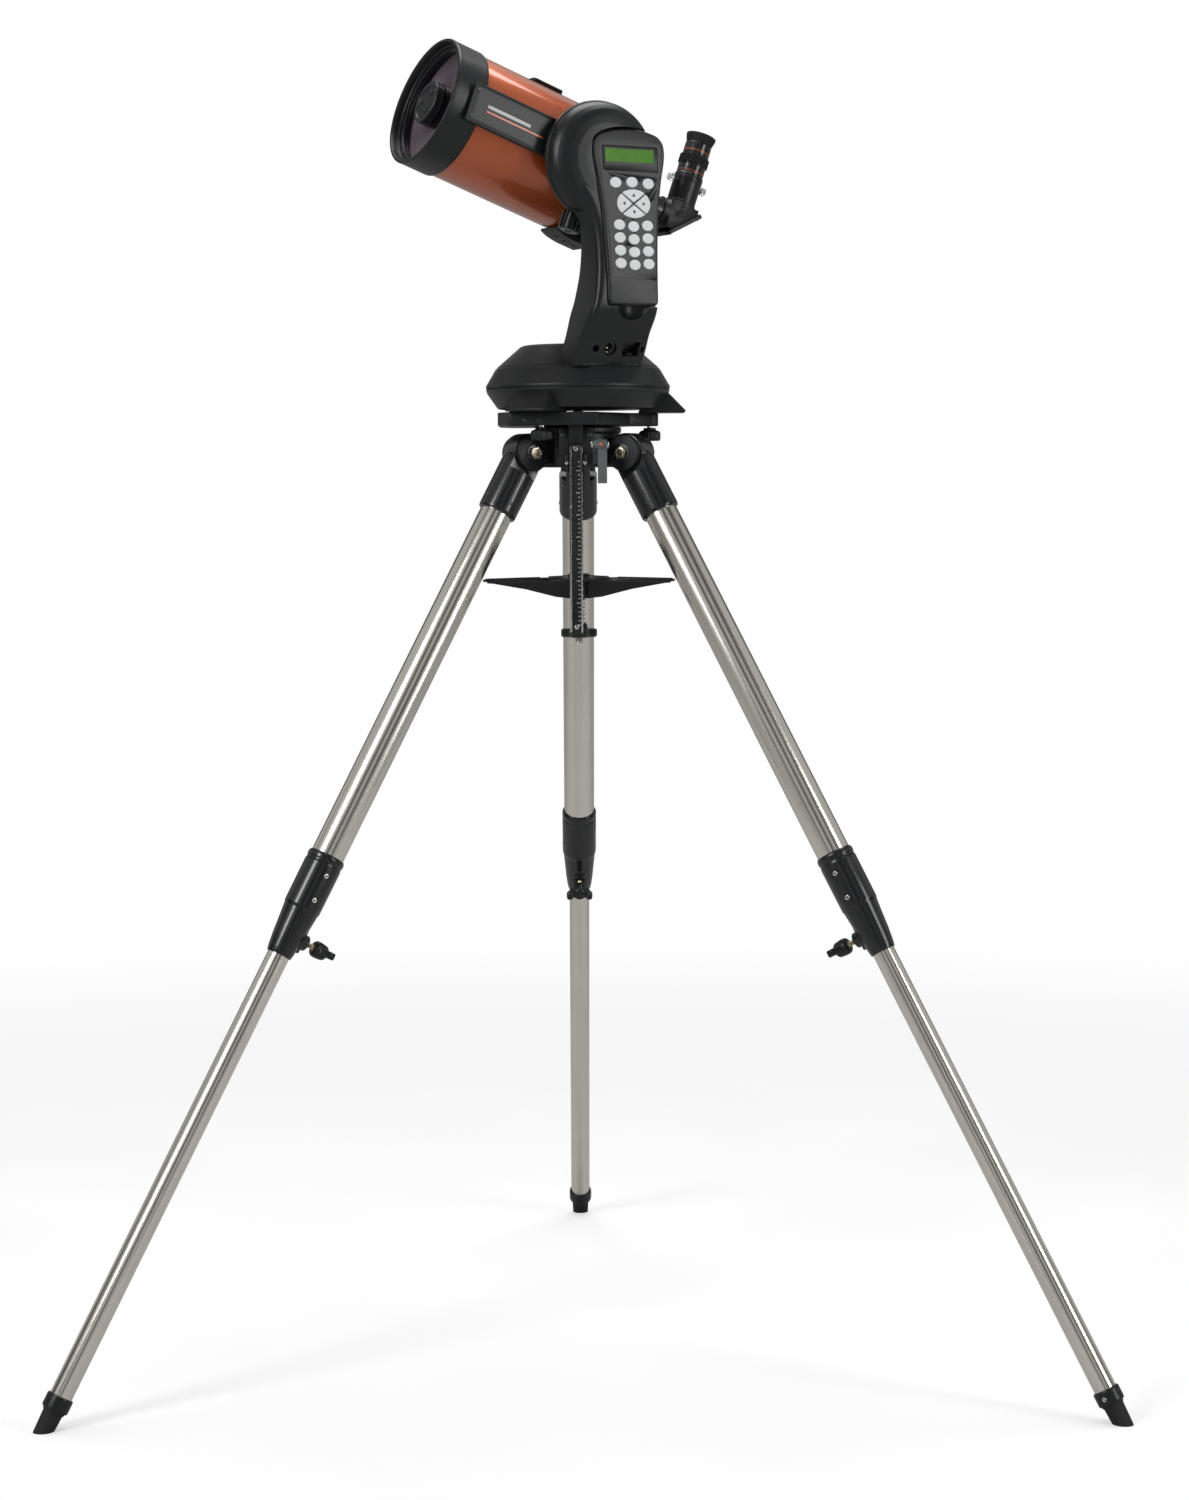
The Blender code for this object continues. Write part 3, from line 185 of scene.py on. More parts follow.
def slab(name, outline, low, high, base, bevel=0.0, segments=3):
    """A closed XY outline extruded between two heights, edges rounded."""
    shape = bmesh.new()
    bottom = [shape.verts.new((x, y, low)) for x, y in outline]
    top = [shape.verts.new((x, y, high)) for x, y in outline]
    shape.faces.new(list(reversed(bottom)))
    shape.faces.new(top)
    count = len(outline)
    for i in range(count):
        k = (i + 1) % count
        shape.faces.new((bottom[i], bottom[k], top[k], top[i]))
    bmesh.ops.recalc_face_normals(shape, faces=shape.faces)
    mesh = bpy.data.meshes.new(name)
    shape.to_mesh(mesh)
    shape.free()
    made = put(name, mesh, base)
    if bevel:
        rounding(made, bevel, segments)
    return shade(made)


def block(name, low, high, base, bevel=0.0, segments=3):
    outline = [(low[0], low[1]), (high[0], low[1]), (high[0], high[1]), (low[0], high[1])]
    return slab(name, outline, low[2], high[2], base, bevel, segments)


def loft(name, sections, base):
    """Rings of equal point counts joined in order, with flat ends."""
    count = len(sections[0])
    verts = [point for section in sections for point in section]
    faces = [list(reversed(range(count))), list(range(len(verts) - count, len(verts)))]
    for i in range(len(sections) - 1):
        for k in range(count):
            m = (k + 1) % count
            faces.append([i * count + k, i * count + m, (i + 1) * count + m, (i + 1) * count + k])
    return shade(put(name, mesh_of(name, verts, faces), base), 40)


def rounding(obj, width, segments=3, angle=32):
    bevel = obj.modifiers.new("rounding", "BEVEL")
    bevel.width = width
    bevel.segments = segments
    bevel.limit_method = "ANGLE"
    bevel.angle_limit = math.radians(angle)
    bevel.harden_normals = True
    return obj


def settle(obj, angle=35):
    """The object's modifiers made part of its mesh."""
    graph = bpy.context.evaluated_depsgraph_get()
    mesh = bpy.data.meshes.new_from_object(obj.evaluated_get(graph))
    obj.modifiers.clear()
    obj.data = mesh
    return shade(obj, angle)


def carve(obj, others, operation="DIFFERENCE"):
    """Cuts the others out of obj, or joins them to it, and removes them."""
    for other in others:
        boolean = obj.modifiers.new("carve", "BOOLEAN")
        boolean.operation = operation
        boolean.object = other
        boolean.solver = "EXACT"
    bpy.context.view_layer.update()
    settle(obj)
    for other in others:
        bpy.data.objects.remove(other, do_unlink=True)
    return obj


def weld(obj, *others):
    return carve(obj, others, "UNION")


def flatten(obj):
    """Everything below the floor cut off, and the cut closed."""
    shape = bmesh.new()
    shape.from_mesh(obj.data)
    shape.transform(obj.matrix_world)
    everything = shape.verts[:] + shape.edges[:] + shape.faces[:]
    made = bmesh.ops.bisect_plane(shape, geom=everything, plane_co=(0, 0, 0), plane_no=(0, 0, -1), clear_outer=True)
    rim = [piece for piece in made["geom_cut"] if isinstance(piece, bmesh.types.BMEdge)]
    bmesh.ops.edgeloop_fill(shape, edges=rim)
    bmesh.ops.recalc_face_normals(shape, faces=shape.faces)
    shape.to_mesh(obj.data)
    shape.free()
    obj.matrix_world = Matrix.Identity(4)
    return shade(obj)


def merged(name, pieces):
    """Separate shells kept as one mesh, each with its own place."""
    base = pieces[0].matrix_world.copy()
    shape = bmesh.new()
    for piece in pieces:
        settle(piece)
        piece.data.transform(base.inverted() @ piece.matrix_world)
        shape.from_mesh(piece.data)
    mesh = bpy.data.meshes.new(name)
    shape.to_mesh(mesh)
    shape.free()
    for piece in pieces:
        bpy.data.objects.remove(piece, do_unlink=True)
    return shade(put(name, mesh, base))


def wire(name, points, radius, base, cyclic=False):
    """A round wire through points."""
    curve = bpy.data.curves.new(name, "CURVE")
    curve.dimensions = "3D"
    curve.bevel_depth = radius
    curve.bevel_resolution = 3
    curve.use_fill_caps = True
    spline = curve.splines.new("POLY")
    spline.points.add(len(points) - 1)
    for spot, point in zip(spline.points, points):
        spot.co = (*point, 1)
    spline.use_cyclic_u = cyclic
    drawn = put(name + "_curve", curve, base)
    graph = bpy.context.evaluated_depsgraph_get()
    mesh = bpy.data.meshes.new_from_object(drawn.evaluated_get(graph))
    bpy.data.objects.remove(drawn, do_unlink=True)
    return shade(put(name, mesh, base), 50)


def part(obj, body, finish, slot, *nodes):
    """obj gets its finish and rides on a body, standing for the CAD nodes named."""
    obj.data.materials.clear()
    obj.data.materials.append(finish)
    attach(obj, body)
    if nodes:
        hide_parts(*nodes)
    return obj


# Materials

class Nodes:
    """A node material built up by short calls."""

    def __init__(self, name):
        self.material = bpy.data.materials.new(name)
        self.material.use_nodes = True
        self.tree = self.material.node_tree
        self.shader = self.tree.nodes["Principled BSDF"]

    def add(self, kind, **values):
        node = self.tree.nodes.new(kind)
        for key, value in values.items():
            if key in node.inputs:
                node.inputs[key].default_value = value
            else:
                setattr(node, key, value)
        return node

    def link(self, start, end):
        self.tree.links.new(start, end)

    def place(self, scale=(1, 1, 1)):
        spot = self.add("ShaderNodeTexCoord")
        mapping = self.add("ShaderNodeMapping")
        mapping.inputs["Scale"].default_value = scale
        self.link(spot.outputs["Object"], mapping.inputs["Vector"])
        return mapping.outputs["Vector"]

    def noise(self, vector, scale, detail=4.0, rough=0.55):
        node = self.add("ShaderNodeTexNoise")
        node.inputs["Scale"].default_value = scale
        node.inputs["Detail"].default_value = detail
        node.inputs["Roughness"].default_value = rough
        self.link(vector, node.inputs["Vector"])
        return node.outputs["Fac"]

    def ramp(self, value, stops):
        node = self.add("ShaderNodeValToRGB")
        band = node.color_ramp
        while len(band.elements) < len(stops):
            band.elements.new(0.5)
        for element, (place, colour) in zip(band.elements, stops):
            element.position = place
            element.color = (*colour, 1) if len(colour) == 3 else colour
        self.link(value, node.inputs["Fac"])
        return node.outputs["Color"]

    def span(self, value, low, high):
        node = self.add("ShaderNodeMapRange")
        node.inputs["To Min"].default_value = low
        node.inputs["To Max"].default_value = high
        self.link(value, node.inputs["Value"])
        return node.outputs["Result"]

    def bump(self, value, strength, distance):
        node = self.add("ShaderNodeBump")
        node.inputs["Strength"].default_value = strength
        node.inputs["Distance"].default_value = distance
        self.link(value, node.inputs["Height"])
        self.link(node.outputs["Normal"], self.shader.inputs["Normal"])

    def set(self, **values):
        for key, value in values.items():
            self.shader.inputs[key.replace("_", " ")].default_value = value
        return self


def coated(name, dark, light, rough, grain=900.0, bump=0.25, depth=0.00012, metallic=0.0, coat=0.0, spread=0.08):
    """Paint or moulded plastic: cloudy colour, fine grain in bump and roughness."""
    made = Nodes(name)
    vector = made.place()
    cloud = made.noise(vector, 14.0, 5.0)
    made.link(made.ramp(cloud, [(0.3, dark), (0.72, light)]), made.shader.inputs["Base Color"])
    fine = made.noise(vector, grain, 3.0, 0.6)
    made.link(made.span(fine, rough - spread, rough + spread), made.shader.inputs["Roughness"])
    made.bump(fine, bump, depth)
    made.set(Metallic=metallic, Coat_Weight=coat, Coat_Roughness=0.12, Specular_IOR_Level=0.38)
    return made.material


def metal(name, colour, rough, stretch=(1, 1, 1), scale=60.0, wear=0.06, bump=0.04, grime=0.85):
    """Drawn or turned metal: streaks along one direction, slight handling marks."""
    made = Nodes(name)
    streak = made.noise(made.place(stretch), scale, 6.0, 0.7)
    mark = made.noise(made.place(), 22.0, 6.0, 0.6)
    dull = tuple(c * grime for c in colour)
    made.link(made.ramp(mark, [(0.35, dull), (0.62, colour)]), made.shader.inputs["Base Color"])
    made.link(made.span(streak, rough - wear, rough + wear), made.shader.inputs["Roughness"])
    made.bump(streak, bump, 0.0001)
    made.set(Metallic=1.0)
    return made.material


CASTING = coated("black_casting_paint", (0.0075, 0.0085, 0.0095), (0.0125, 0.0140, 0.0150), 0.43, 1500.0, 0.5, 0.00014)
SATIN = coated("satin_black_shell", (0.0070, 0.0080, 0.0090), (0.0110, 0.0125, 0.0135), 0.36, 2400.0, 0.3, 0.00008)
PLASTIC = coated("dark_moulded_plastic", (0.0060, 0.0070, 0.0080), (0.0105, 0.0120, 0.0130), 0.34, 1800.0, 0.25, 0.00008)
GLOSS = coated("gloss_black_sleeve", (0.004, 0.005, 0.006), (0.008, 0.009, 0.0105), 0.28, 300.0, 0.03, 0.00003, coat=0.4, spread=0.02)
RUBBER = coated("matt_rubber", (0.007, 0.0075, 0.0075), (0.016, 0.0165, 0.016), 0.72, 1300.0, 0.5, 0.00015)
LABEL = coated("rail_anodised", (0.009, 0.0105, 0.0115), (0.015, 0.017, 0.0185), 0.4, 1600.0, 0.3, 0.00006, metallic=0.25)
INSIDE = coated("flat_black_inside", (0.003, 0.0035, 0.0035), (0.006, 0.0065, 0.0065), 0.62, 900.0, 0.3, 0.0001)
STEEL = metal("drawn_stainless", (0.77, 0.735, 0.67), 0.2, (1, 1, 0.02), 160.0, 0.02, 0.004, 0.95)
CHROME = metal("bright_chrome", (0.86, 0.86, 0.85), 0.09, (1, 1, 1), 120.0, 0.03, 0.02, 0.9)
GREY_METAL = coated("grey_lever_paint", (0.085, 0.095, 0.102), (0.135, 0.15, 0.158), 0.34, 700.0, 0.2, 0.00006)
DARK_METAL = metal("dark_bolt", (0.10, 0.105, 0.11), 0.33, (1, 1, 1), 300.0, 0.06, 0.06, 0.7)
BRASS = metal("turned_brass", (0.64, 0.55, 0.38), 0.24, (1, 1, 1), 240.0, 0.06, 0.04, 0.7)
ORANGE_METAL = metal("orange_bolt", (0.62, 0.20, 0.05), 0.3, (1, 1, 1), 200.0, 0.06, 0.05, 0.6)
KEYS = coated("silicone_keys", (0.76, 0.79, 0.80), (0.85, 0.88, 0.89), 0.5, 900.0, 0.15, 0.00005)
SIGN = coated("dark_arrow_ink", (0.01, 0.01, 0.01), (0.015, 0.015, 0.015), 0.5)
TICKS = coated("pale_scale_ink", (0.55, 0.56, 0.55), (0.65, 0.66, 0.65), 0.5)
PRINT = coated("orange_ring_ink", (0.62, 0.12, 0.02), (0.72, 0.16, 0.03), 0.3, coat=0.4)
MIRROR = metal("aluminised_mirror", (0.93, 0.93, 0.94), 0.03, (1, 1, 1), 50.0, 0.01, 0.0, 0.98)


def orange_paint():
    """Metallic orange lacquer: flake sparkle under a clear coat."""
    made = Nodes("orange_lacquer")
    vector = made.place()
    cloud = made.noise(vector, 6.0, 3.0)
    flake = made.add("ShaderNodeTexVoronoi")
    flake.inputs["Scale"].default_value = 2600.0
    made.link(vector, flake.inputs["Vector"])
    base = made.ramp(cloud, [(0.25, (0.50, 0.092, 0.018)), (0.8, (0.57, 0.110, 0.023))])
    mix = made.add("ShaderNodeMix", data_type="RGBA", blend_type="MULTIPLY")
    mix.inputs["Factor"].default_value = 0.28
    made.link(base, mix.inputs["A"])
    made.link(flake.outputs["Color"], mix.inputs["B"])
    made.link(mix.outputs["Result"], made.shader.inputs["Base Color"])
    made.link(made.span(flake.outputs["Distance"], 0.3, 0.42), made.shader.inputs["Roughness"])
    made.bump(made.noise(vector, 420.0, 2.0), 0.05, 0.00005)
    made.set(Metallic=0.55, Coat_Weight=0.9, Coat_Roughness=0.09)
    return made.material


def clear_glass(name, tint, rough, share):
    """Thin coated glass: mostly clear, with a tinted reflection."""
    made = Nodes(name)
    tree = made.tree
    clear = made.add("ShaderNodeBsdfTransparent")
    clear.inputs["Color"].default_value = (0.93, 0.92, 0.95, 1)
    shine = made.add("ShaderNodeBsdfGlossy")
    streak = made.noise(made.place(), 9.0, 3.0)
    made.link(made.ramp(streak, [(0.2, tint), (0.9, tuple(c * 0.8 for c in tint))]), shine.inputs["Color"])
    shine.inputs["Roughness"].default_value = rough
    fresnel = made.add("ShaderNodeLayerWeight")
    fresnel.inputs["Blend"].default_value = 0.35
    amount = made.span(fresnel.outputs["Facing"], share, 0.9)
    mix = made.add("ShaderNodeMixShader")
    made.link(amount, mix.inputs["Fac"])
    made.link(clear.outputs["BSDF"], mix.inputs[1])
    made.link(shine.outputs["BSDF"], mix.inputs[2])
    made.link(mix.outputs["Shader"], tree.nodes["Material Output"].inputs["Surface"])
    return made.material


def lit_display():
    """Green character display with a faint dot grid."""
    made = Nodes("green_display")
    vector = made.place()
    cloud = made.noise(vector, 60.0, 2.0)
    base = made.ramp(cloud, [(0.2, (0.070, 0.205, 0.024)), (0.85, (0.100, 0.270, 0.036))])
    made.link(base, made.shader.inputs["Base Color"])
    made.link(base, made.shader.inputs["Emission Color"])
    grid = made.add("ShaderNodeTexChecker")
    grid.inputs["Scale"].default_value = 1300.0
    made.link(vector, grid.inputs["Vector"])
    made.bump(grid.outputs["Fac"], 0.15, 0.00005)
    made.set(Emission_Strength=0.05, Roughness=0.45, Specular_IOR_Level=0.15)
    return made.material


ORANGE = orange_paint()
CORRECTOR = clear_glass("coated_corrector", (0.42, 0.34, 0.40), 0.05, 0.32)
LENS = clear_glass("coated_eye_lens", (0.5, 0.75, 0.6), 0.02, 0.2)
DISPLAY = lit_display()
BEZEL = coated("display_surround", (0.003, 0.0035, 0.004), (0.005, 0.0055, 0.006), 0.34, 1200.0, 0.05, 0.00003)


# Tripod

def make_hub():
    """Casting with three forked ears, front guide block, hinge lugs and the flange under the tilt plate."""
    flange = [(0, 1081.8), (49, 1081.8), (50, 1080.8), (50, 1076), (47.5, 1074), (47.5, 1040), (45.5, 1036), (0, 1036)]
    hub = turned("tripod_hub_casting", [(r * MM, z * MM) for r, z in flange], AXIS, fillet=0.8 * MM, steps=120)
    guide = block("guide", (-22 * MM, -73 * MM, 1038 * MM), (16 * MM, -40 * MM, 1080.8 * MM), AXIS, 0.9 * MM)
    cheeks = block("cheeks", (-15.5 * MM, -92 * MM, 1030 * MM), (9.5 * MM, -60 * MM, 1050 * MM), AXIS, 1.2 * MM)
    shelf = block("shelf", (-27 * MM, 30 * MM, 1076 * MM), (27 * MM, 100 * MM, 1081.5 * MM), AXIS, 0.8 * MM)
    settle(guide), settle(cheeks), settle(shelf)
    joined = [guide, cheeks, shelf]
    for side in (-1, 1):
        spot = (side * 22 * MM, HINGE_Y, 1090.5 * MM)
        lug = block("lug", (spot[0] - 3.8 * MM, 85.4 * MM, 1077 * MM), (spot[0] + 3.8 * MM, 98.6 * MM, 1090.5 * MM), AXIS)
        joined += [lug, rod("eye", 7.2 * MM, -4 * MM, 4 * MM, shifted(AXIS, spot, ALONG), 0.6 * MM)]
    for angle in LEG_AZIMUTHS:
        turn = shifted(AXIS, rotation=(0, 0, angle))
        web = block("web", (20 * MM, -20.1 * MM, 1038 * MM), (PIVOT_RADIUS, 20.1 * MM, 1069 * MM), turn, 2 * MM)
        ears = rod("ears", 20.5 * MM, -20.5 * MM, 20.5 * MM, shifted(turn, (PIVOT_RADIUS, 0, PIVOT_HEIGHT), SIDEWAYS), 1.4 * MM)
        joined += [settle(web), ears]
    weld(hub, *joined)
    cuts = [rod("bore", 5 * MM, 1030 * MM, 1090 * MM, AXIS)]
    cuts.append(block("slot", (-11.5 * MM, -100 * MM, 1020 * MM), (5.5 * MM, -67.5 * MM, 1090 * MM), AXIS))
    for angle in LEG_AZIMUTHS:
        turn = shifted(AXIS, rotation=(0, 0, angle))
        low = (PIVOT_RADIUS - 23.5 * MM, -14.3 * MM, 1026 * MM)
        cuts.append(block("tongue", low, (PIVOT_RADIUS + 30 * MM, 14.3 * MM, 1075.5 * MM), turn))
    carve(hub, cuts)
    rounding(hub, 0.6 * MM, 2, 40)
    part(hub, "tripod", CASTING, "black_casting", "tripod_hub")
    pin = rod("tilt_hinge_pin", 2.5 * MM, -27.5 * MM, 27.5 * MM, shifted(AXIS, (0, HINGE_Y, 1090.5 * MM), ALONG), 0.5 * MM)
    part(pin, "tripod", STEEL, "polished_steel")
    for number, angle in enumerate(LEG_AZIMUTHS, 1):
        turn = shifted(AXIS, (*polar(PIVOT_RADIUS, angle), PIVOT_HEIGHT), (0, 0, angle))
        shank = rod(f"clevis_bolt_{number}", 4 * MM, -23 * MM, 25 * MM, shifted(turn, rotation=SIDEWAYS), 0.6 * MM)
        part(shank, "tripod", STEEL, "polished_steel")
        for side, label in ((-1, "a"), (1, "b")):
            face = shifted(turn, (0, side * 20.5 * MM, 0), (-side * math.pi / 2, 0, 0))
            hexagon = soften([polar(7.6 * MM, math.radians(60 * k + 12)) for k in range(6)], 0.9 * MM, True)
            nut = slab(f"clevis_nut_{number}{label}", hexagon, 1.4 * MM, 6.4 * MM, face, 0.7 * MM)
            part(nut, "tripod", BRASS, "brass")
            collar = pipe(f"clevis_nut_ring_{number}{label}", 5.3 * MM, 4 * MM, 6.2 * MM, 7.4 * MM, face, 0.3 * MM)
            part(collar, "tripod", STEEL, "polished_steel")
            washer = pipe(f"clevis_washer_{number}{label}", 9.8 * MM, 4 * MM, 0.02 * MM, 1.4 * MM, face, 0.4 * MM)
            part(washer, "tripod", DARK_METAL, "black_casting")


def make_guide_details():
    """Screw, cap and clamp details on the front of the hub."""
    front = shifted(AXIS, (0, -73 * MM, 0), (math.pi / 2, 0, 0))
    for number, x in enumerate((-18.2 * MM, 12.2 * MM), 1):
        spot = shifted(front, (x, 1072 * MM, 0))
        head = [(0, 1.4), (2.2, 1.2), (2.9, 0.5), (2.9, 0)]
        screw = turned(f"guide_screw_{number}", [(r * MM, z * MM) for r, z in head], spot, fillet=0.3 * MM, steps=48)
        part(screw, "tripod", DARK_METAL, "black_casting")
    for side in (-1, 1):
        cheek = shifted(front, (-3 * MM + side * 10.4 * MM, 1040 * MM, 19 * MM))
        bolt = rod(f"cheek_bolt_{'a' if side < 0 else 'b'}", 1.9 * MM, 0, 1.1 * MM, cheek, 0.4 * MM, 40)
        part(bolt, "tripod", STEEL, "polished_steel")


def make_leg(number, angle):
    """One leg in a frame whose Y is the clevis pin, -Z runs down to the foot and -X faces inward."""
    end = f"_{number}"
    body, lower = f"leg_{number}", f"leg_extension_{number}"
    leg = shifted(AXIS, (*polar(PIVOT_RADIUS, angle), PIVOT_HEIGHT), (0, -LEG_ANGLE, angle))
    profile = [(0, -4), (18, -5), (22.3, -12), (22.5, -20), (22.5, -76.5), (21.6, -79.3), (0, -79.3)]
    sleeve = turned("leg_sleeve" + end, [(r * MM, z * MM) for r, z in profile], leg, fillet=1.6 * MM, steps=128)
    nose = rod("nose", SLEEVE_R, -14 * MM, 14 * MM, shifted(leg, rotation=SIDEWAYS), 1.6 * MM, 96)
    weld(sleeve, nose)
    cuts = []
    for side in (-1, 1):
        near, far = sorted((side * 14 * MM, side * 30 * MM))
        flat = block("flat", (-30 * MM, near, -27 * MM), (30 * MM, far, 30 * MM), leg)
        cuts.append(flat)
    cuts.append(rod("socket", UPPER_R + 0.3 * MM, -85 * MM, -34 * MM, leg))
    cuts.append(rod("pin_eye", 4.3 * MM, -20 * MM, 20 * MM, shifted(leg, rotation=SIDEWAYS)))
    carve(sleeve, cuts)
    rounding(sleeve, 1.0 * MM, 3, 42)
    part(sleeve, body, GLOSS, "gloss_black", f"leg_bracket{end}")
    for k, turn in enumerate((0, math.pi / 2, math.pi, 3 * math.pi / 2), 1):
        spot = shifted(shifted(leg, (0, 0, -66 * MM), (0, 0, turn)), (SLEEVE_R - 0.3 * MM, 0, 0), ALONG)
        rivet = turned(f"sleeve_rivet_{number}{k}", [(0, 1.1 * MM), (1.3 * MM, 0.9 * MM), (2.1 * MM, 0)], spot, fillet=0.3 * MM, steps=40)
        part(rivet, body, DARK_METAL, "gloss_black")
    tube = pipe("upper_leg_tube" + end, UPPER_R, UPPER_R - 1.6 * MM, -CLAMP_TOP - 60 * MM, -35 * MM, leg, 0.3 * MM, 128)
    part(tube, body, STEEL, "polished_steel", f"upper_tube{end}")

    profile = [
        (UPPER_R + 0.3 * MM, -518), (20.2, -517.6), (21.6, -520.5), (21.6, -524.5), (20.8, -525.8), (20.8, -528),
        (21.5, -529.5), (21.3, -582), (20.3, -585), (18.9, -600), (17.2, -621), (15.6, -634), (15.0, -637.5),
        (14.2, -641), (13.0, -641), (13.0, -580), (19.35, -580),
    ]
    profile = [(r * (1 if r < 1 else MM), z * MM) for r, z in profile]
    collar = turned("leg_collar" + end, profile, leg, ring=True, fillet=1.0 * MM, steps=112)
    inward = shifted(leg, (0, 0, -KNOB_STATION), (0, -math.pi / 2, 0))
    boss = rod("boss", 9 * MM, 14 * MM, 24 * MM, inward, 0.9 * MM, 64)
    ear = block("ear", (-14 * MM, -3.4 * MM, 12 * MM), (14 * MM, 3.4 * MM, 20 * MM), inward, 1.4 * MM)
    weld(collar, boss, settle(ear))
    carve(collar, [rod("thread_hole", 3.3 * MM, 11 * MM, 30 * MM, inward)])
    rounding(collar, 0.5 * MM, 2, 40)
    part(collar, body, GLOSS, "gloss_black", f"leg_clamp{end}")
    for k, height in enumerate((-541, -571), 1):
        for label, turn in (("a", -math.pi / 2), ("b", math.pi / 2)):
            spot = shifted(shifted(leg, (0, 0, height * MM), (0, 0, turn)), (20.7 * MM, 0, 0), ALONG)
            profile = [(0, 0.2), (1.0, 0.2), (1.3, 1.0), (2.5, 0.95), (2.9, 0.2), (2.9, -0.6)]
            screw = turned(f"collar_screw_{number}{k}{label}", [(r * MM, z * MM) for r, z in profile], spot, fillet=0.25 * MM, steps=40)
            part(screw, body, STEEL, "polished_steel")

    stem = [(0, 14), (3, 14)]
    for k in range(13):
        stem += [(3.05, 14.4 + 1.5 * k), (2.55, 15.15 + 1.5 * k)]
    stem += [(3, 34.2), (0, 34.2)]
    thread = turned("clamp_thread" + end, [(r * MM, z * MM) for r, z in stem], inward, steps=48)
    part(thread, f"leg_knob_{number}", BRASS, "black_plastic")
    hood = [(0, 52), (6.4, 52), (8.6, 49.5), (9.6, 41), (9.2, 36), (7.2, 34), (0, 34)]
    knob = turned("clamp_wing_knob" + end, [(r * MM, z * MM) for r, z in hood], inward, fillet=1.4 * MM, steps=72)
    wing = [(-17, 50), (-15.5, 57), (-10.5, 57), (-5, 50), (5, 50), (10.5, 57), (15.5, 57), (17, 50), (9, 38.5), (-9, 38.5)]
    wing = soften([(x * MM, y * MM) for x, y in wing], 3 * MM, True, 6)
    blade = slab("blade", wing, -4 * MM, 4 * MM, shifted(inward, rotation=(math.pi / 2, 0, math.pi / 2)), 1.6 * MM, 4)
    weld(knob, settle(blade))
    rounding(knob, 0.8 * MM, 3, 40)
    part(knob, f"leg_knob_{number}", PLASTIC, "black_plastic", f"clamp_knob{end}")

    foot_top = LEG_LENGTH - 40 * MM
    tube = pipe("lower_leg_tube" + end, LOWER_R, LOWER_R - 1.6 * MM, -foot_top, -460 * MM, leg, 0.3 * MM, 112)
    part(tube, lower, STEEL, "polished_steel", f"lower_tube{end}")
    top = -foot_top / MM
    profile = [(12.75, top + 1.5), (14.2, top + 1.2), (15, top - 0.3), (15, top - 13.5), (14.2, top - 15), (0, top - 15)]
    profile = [(0, top + 1.4)] + profile
    cap = turned("foot_cap" + end, [(r * MM, z * MM) for r, z in profile[1:]], leg, fillet=0.8 * MM, steps=96)
    part(cap, lower, PLASTIC, "rubber")
    spot = shifted(shifted(leg, (0, 0, (top - 7.5) * MM), (0, 0, -math.pi / 2)), (14.8 * MM, 0, 0), ALONG)
    profile = [(0, 0.1), (1.0, 0.1), (1.25, 0.8), (2.2, 0.7), (2.5, 0), (2.5, -0.5)]
    screw = turned("foot_screw" + end, [(r * MM, z * MM) for r, z in profile], spot, fillet=0.2 * MM, steps=40)
    part(screw, lower, STEEL, "rubber")
    low = -LEG_LENGTH / MM
    profile = [(0, top - 14.5), (12.6, top - 14.5), (12.6, top - 16.4), (11.2, top - 18.5), (10.2, low - 6), (9.8, low - 9), (0, low - 9)]
    tip = turned("rubber_tip" + end, [(r * MM, z * MM) for r, z in profile], leg, fillet=0.8 * MM, steps=96)
    flatten(tip)
    rounding(tip, 0.5 * MM, 2, 30)
    part(tip, lower, RUBBER, "rubber", f"foot_tip{end}")


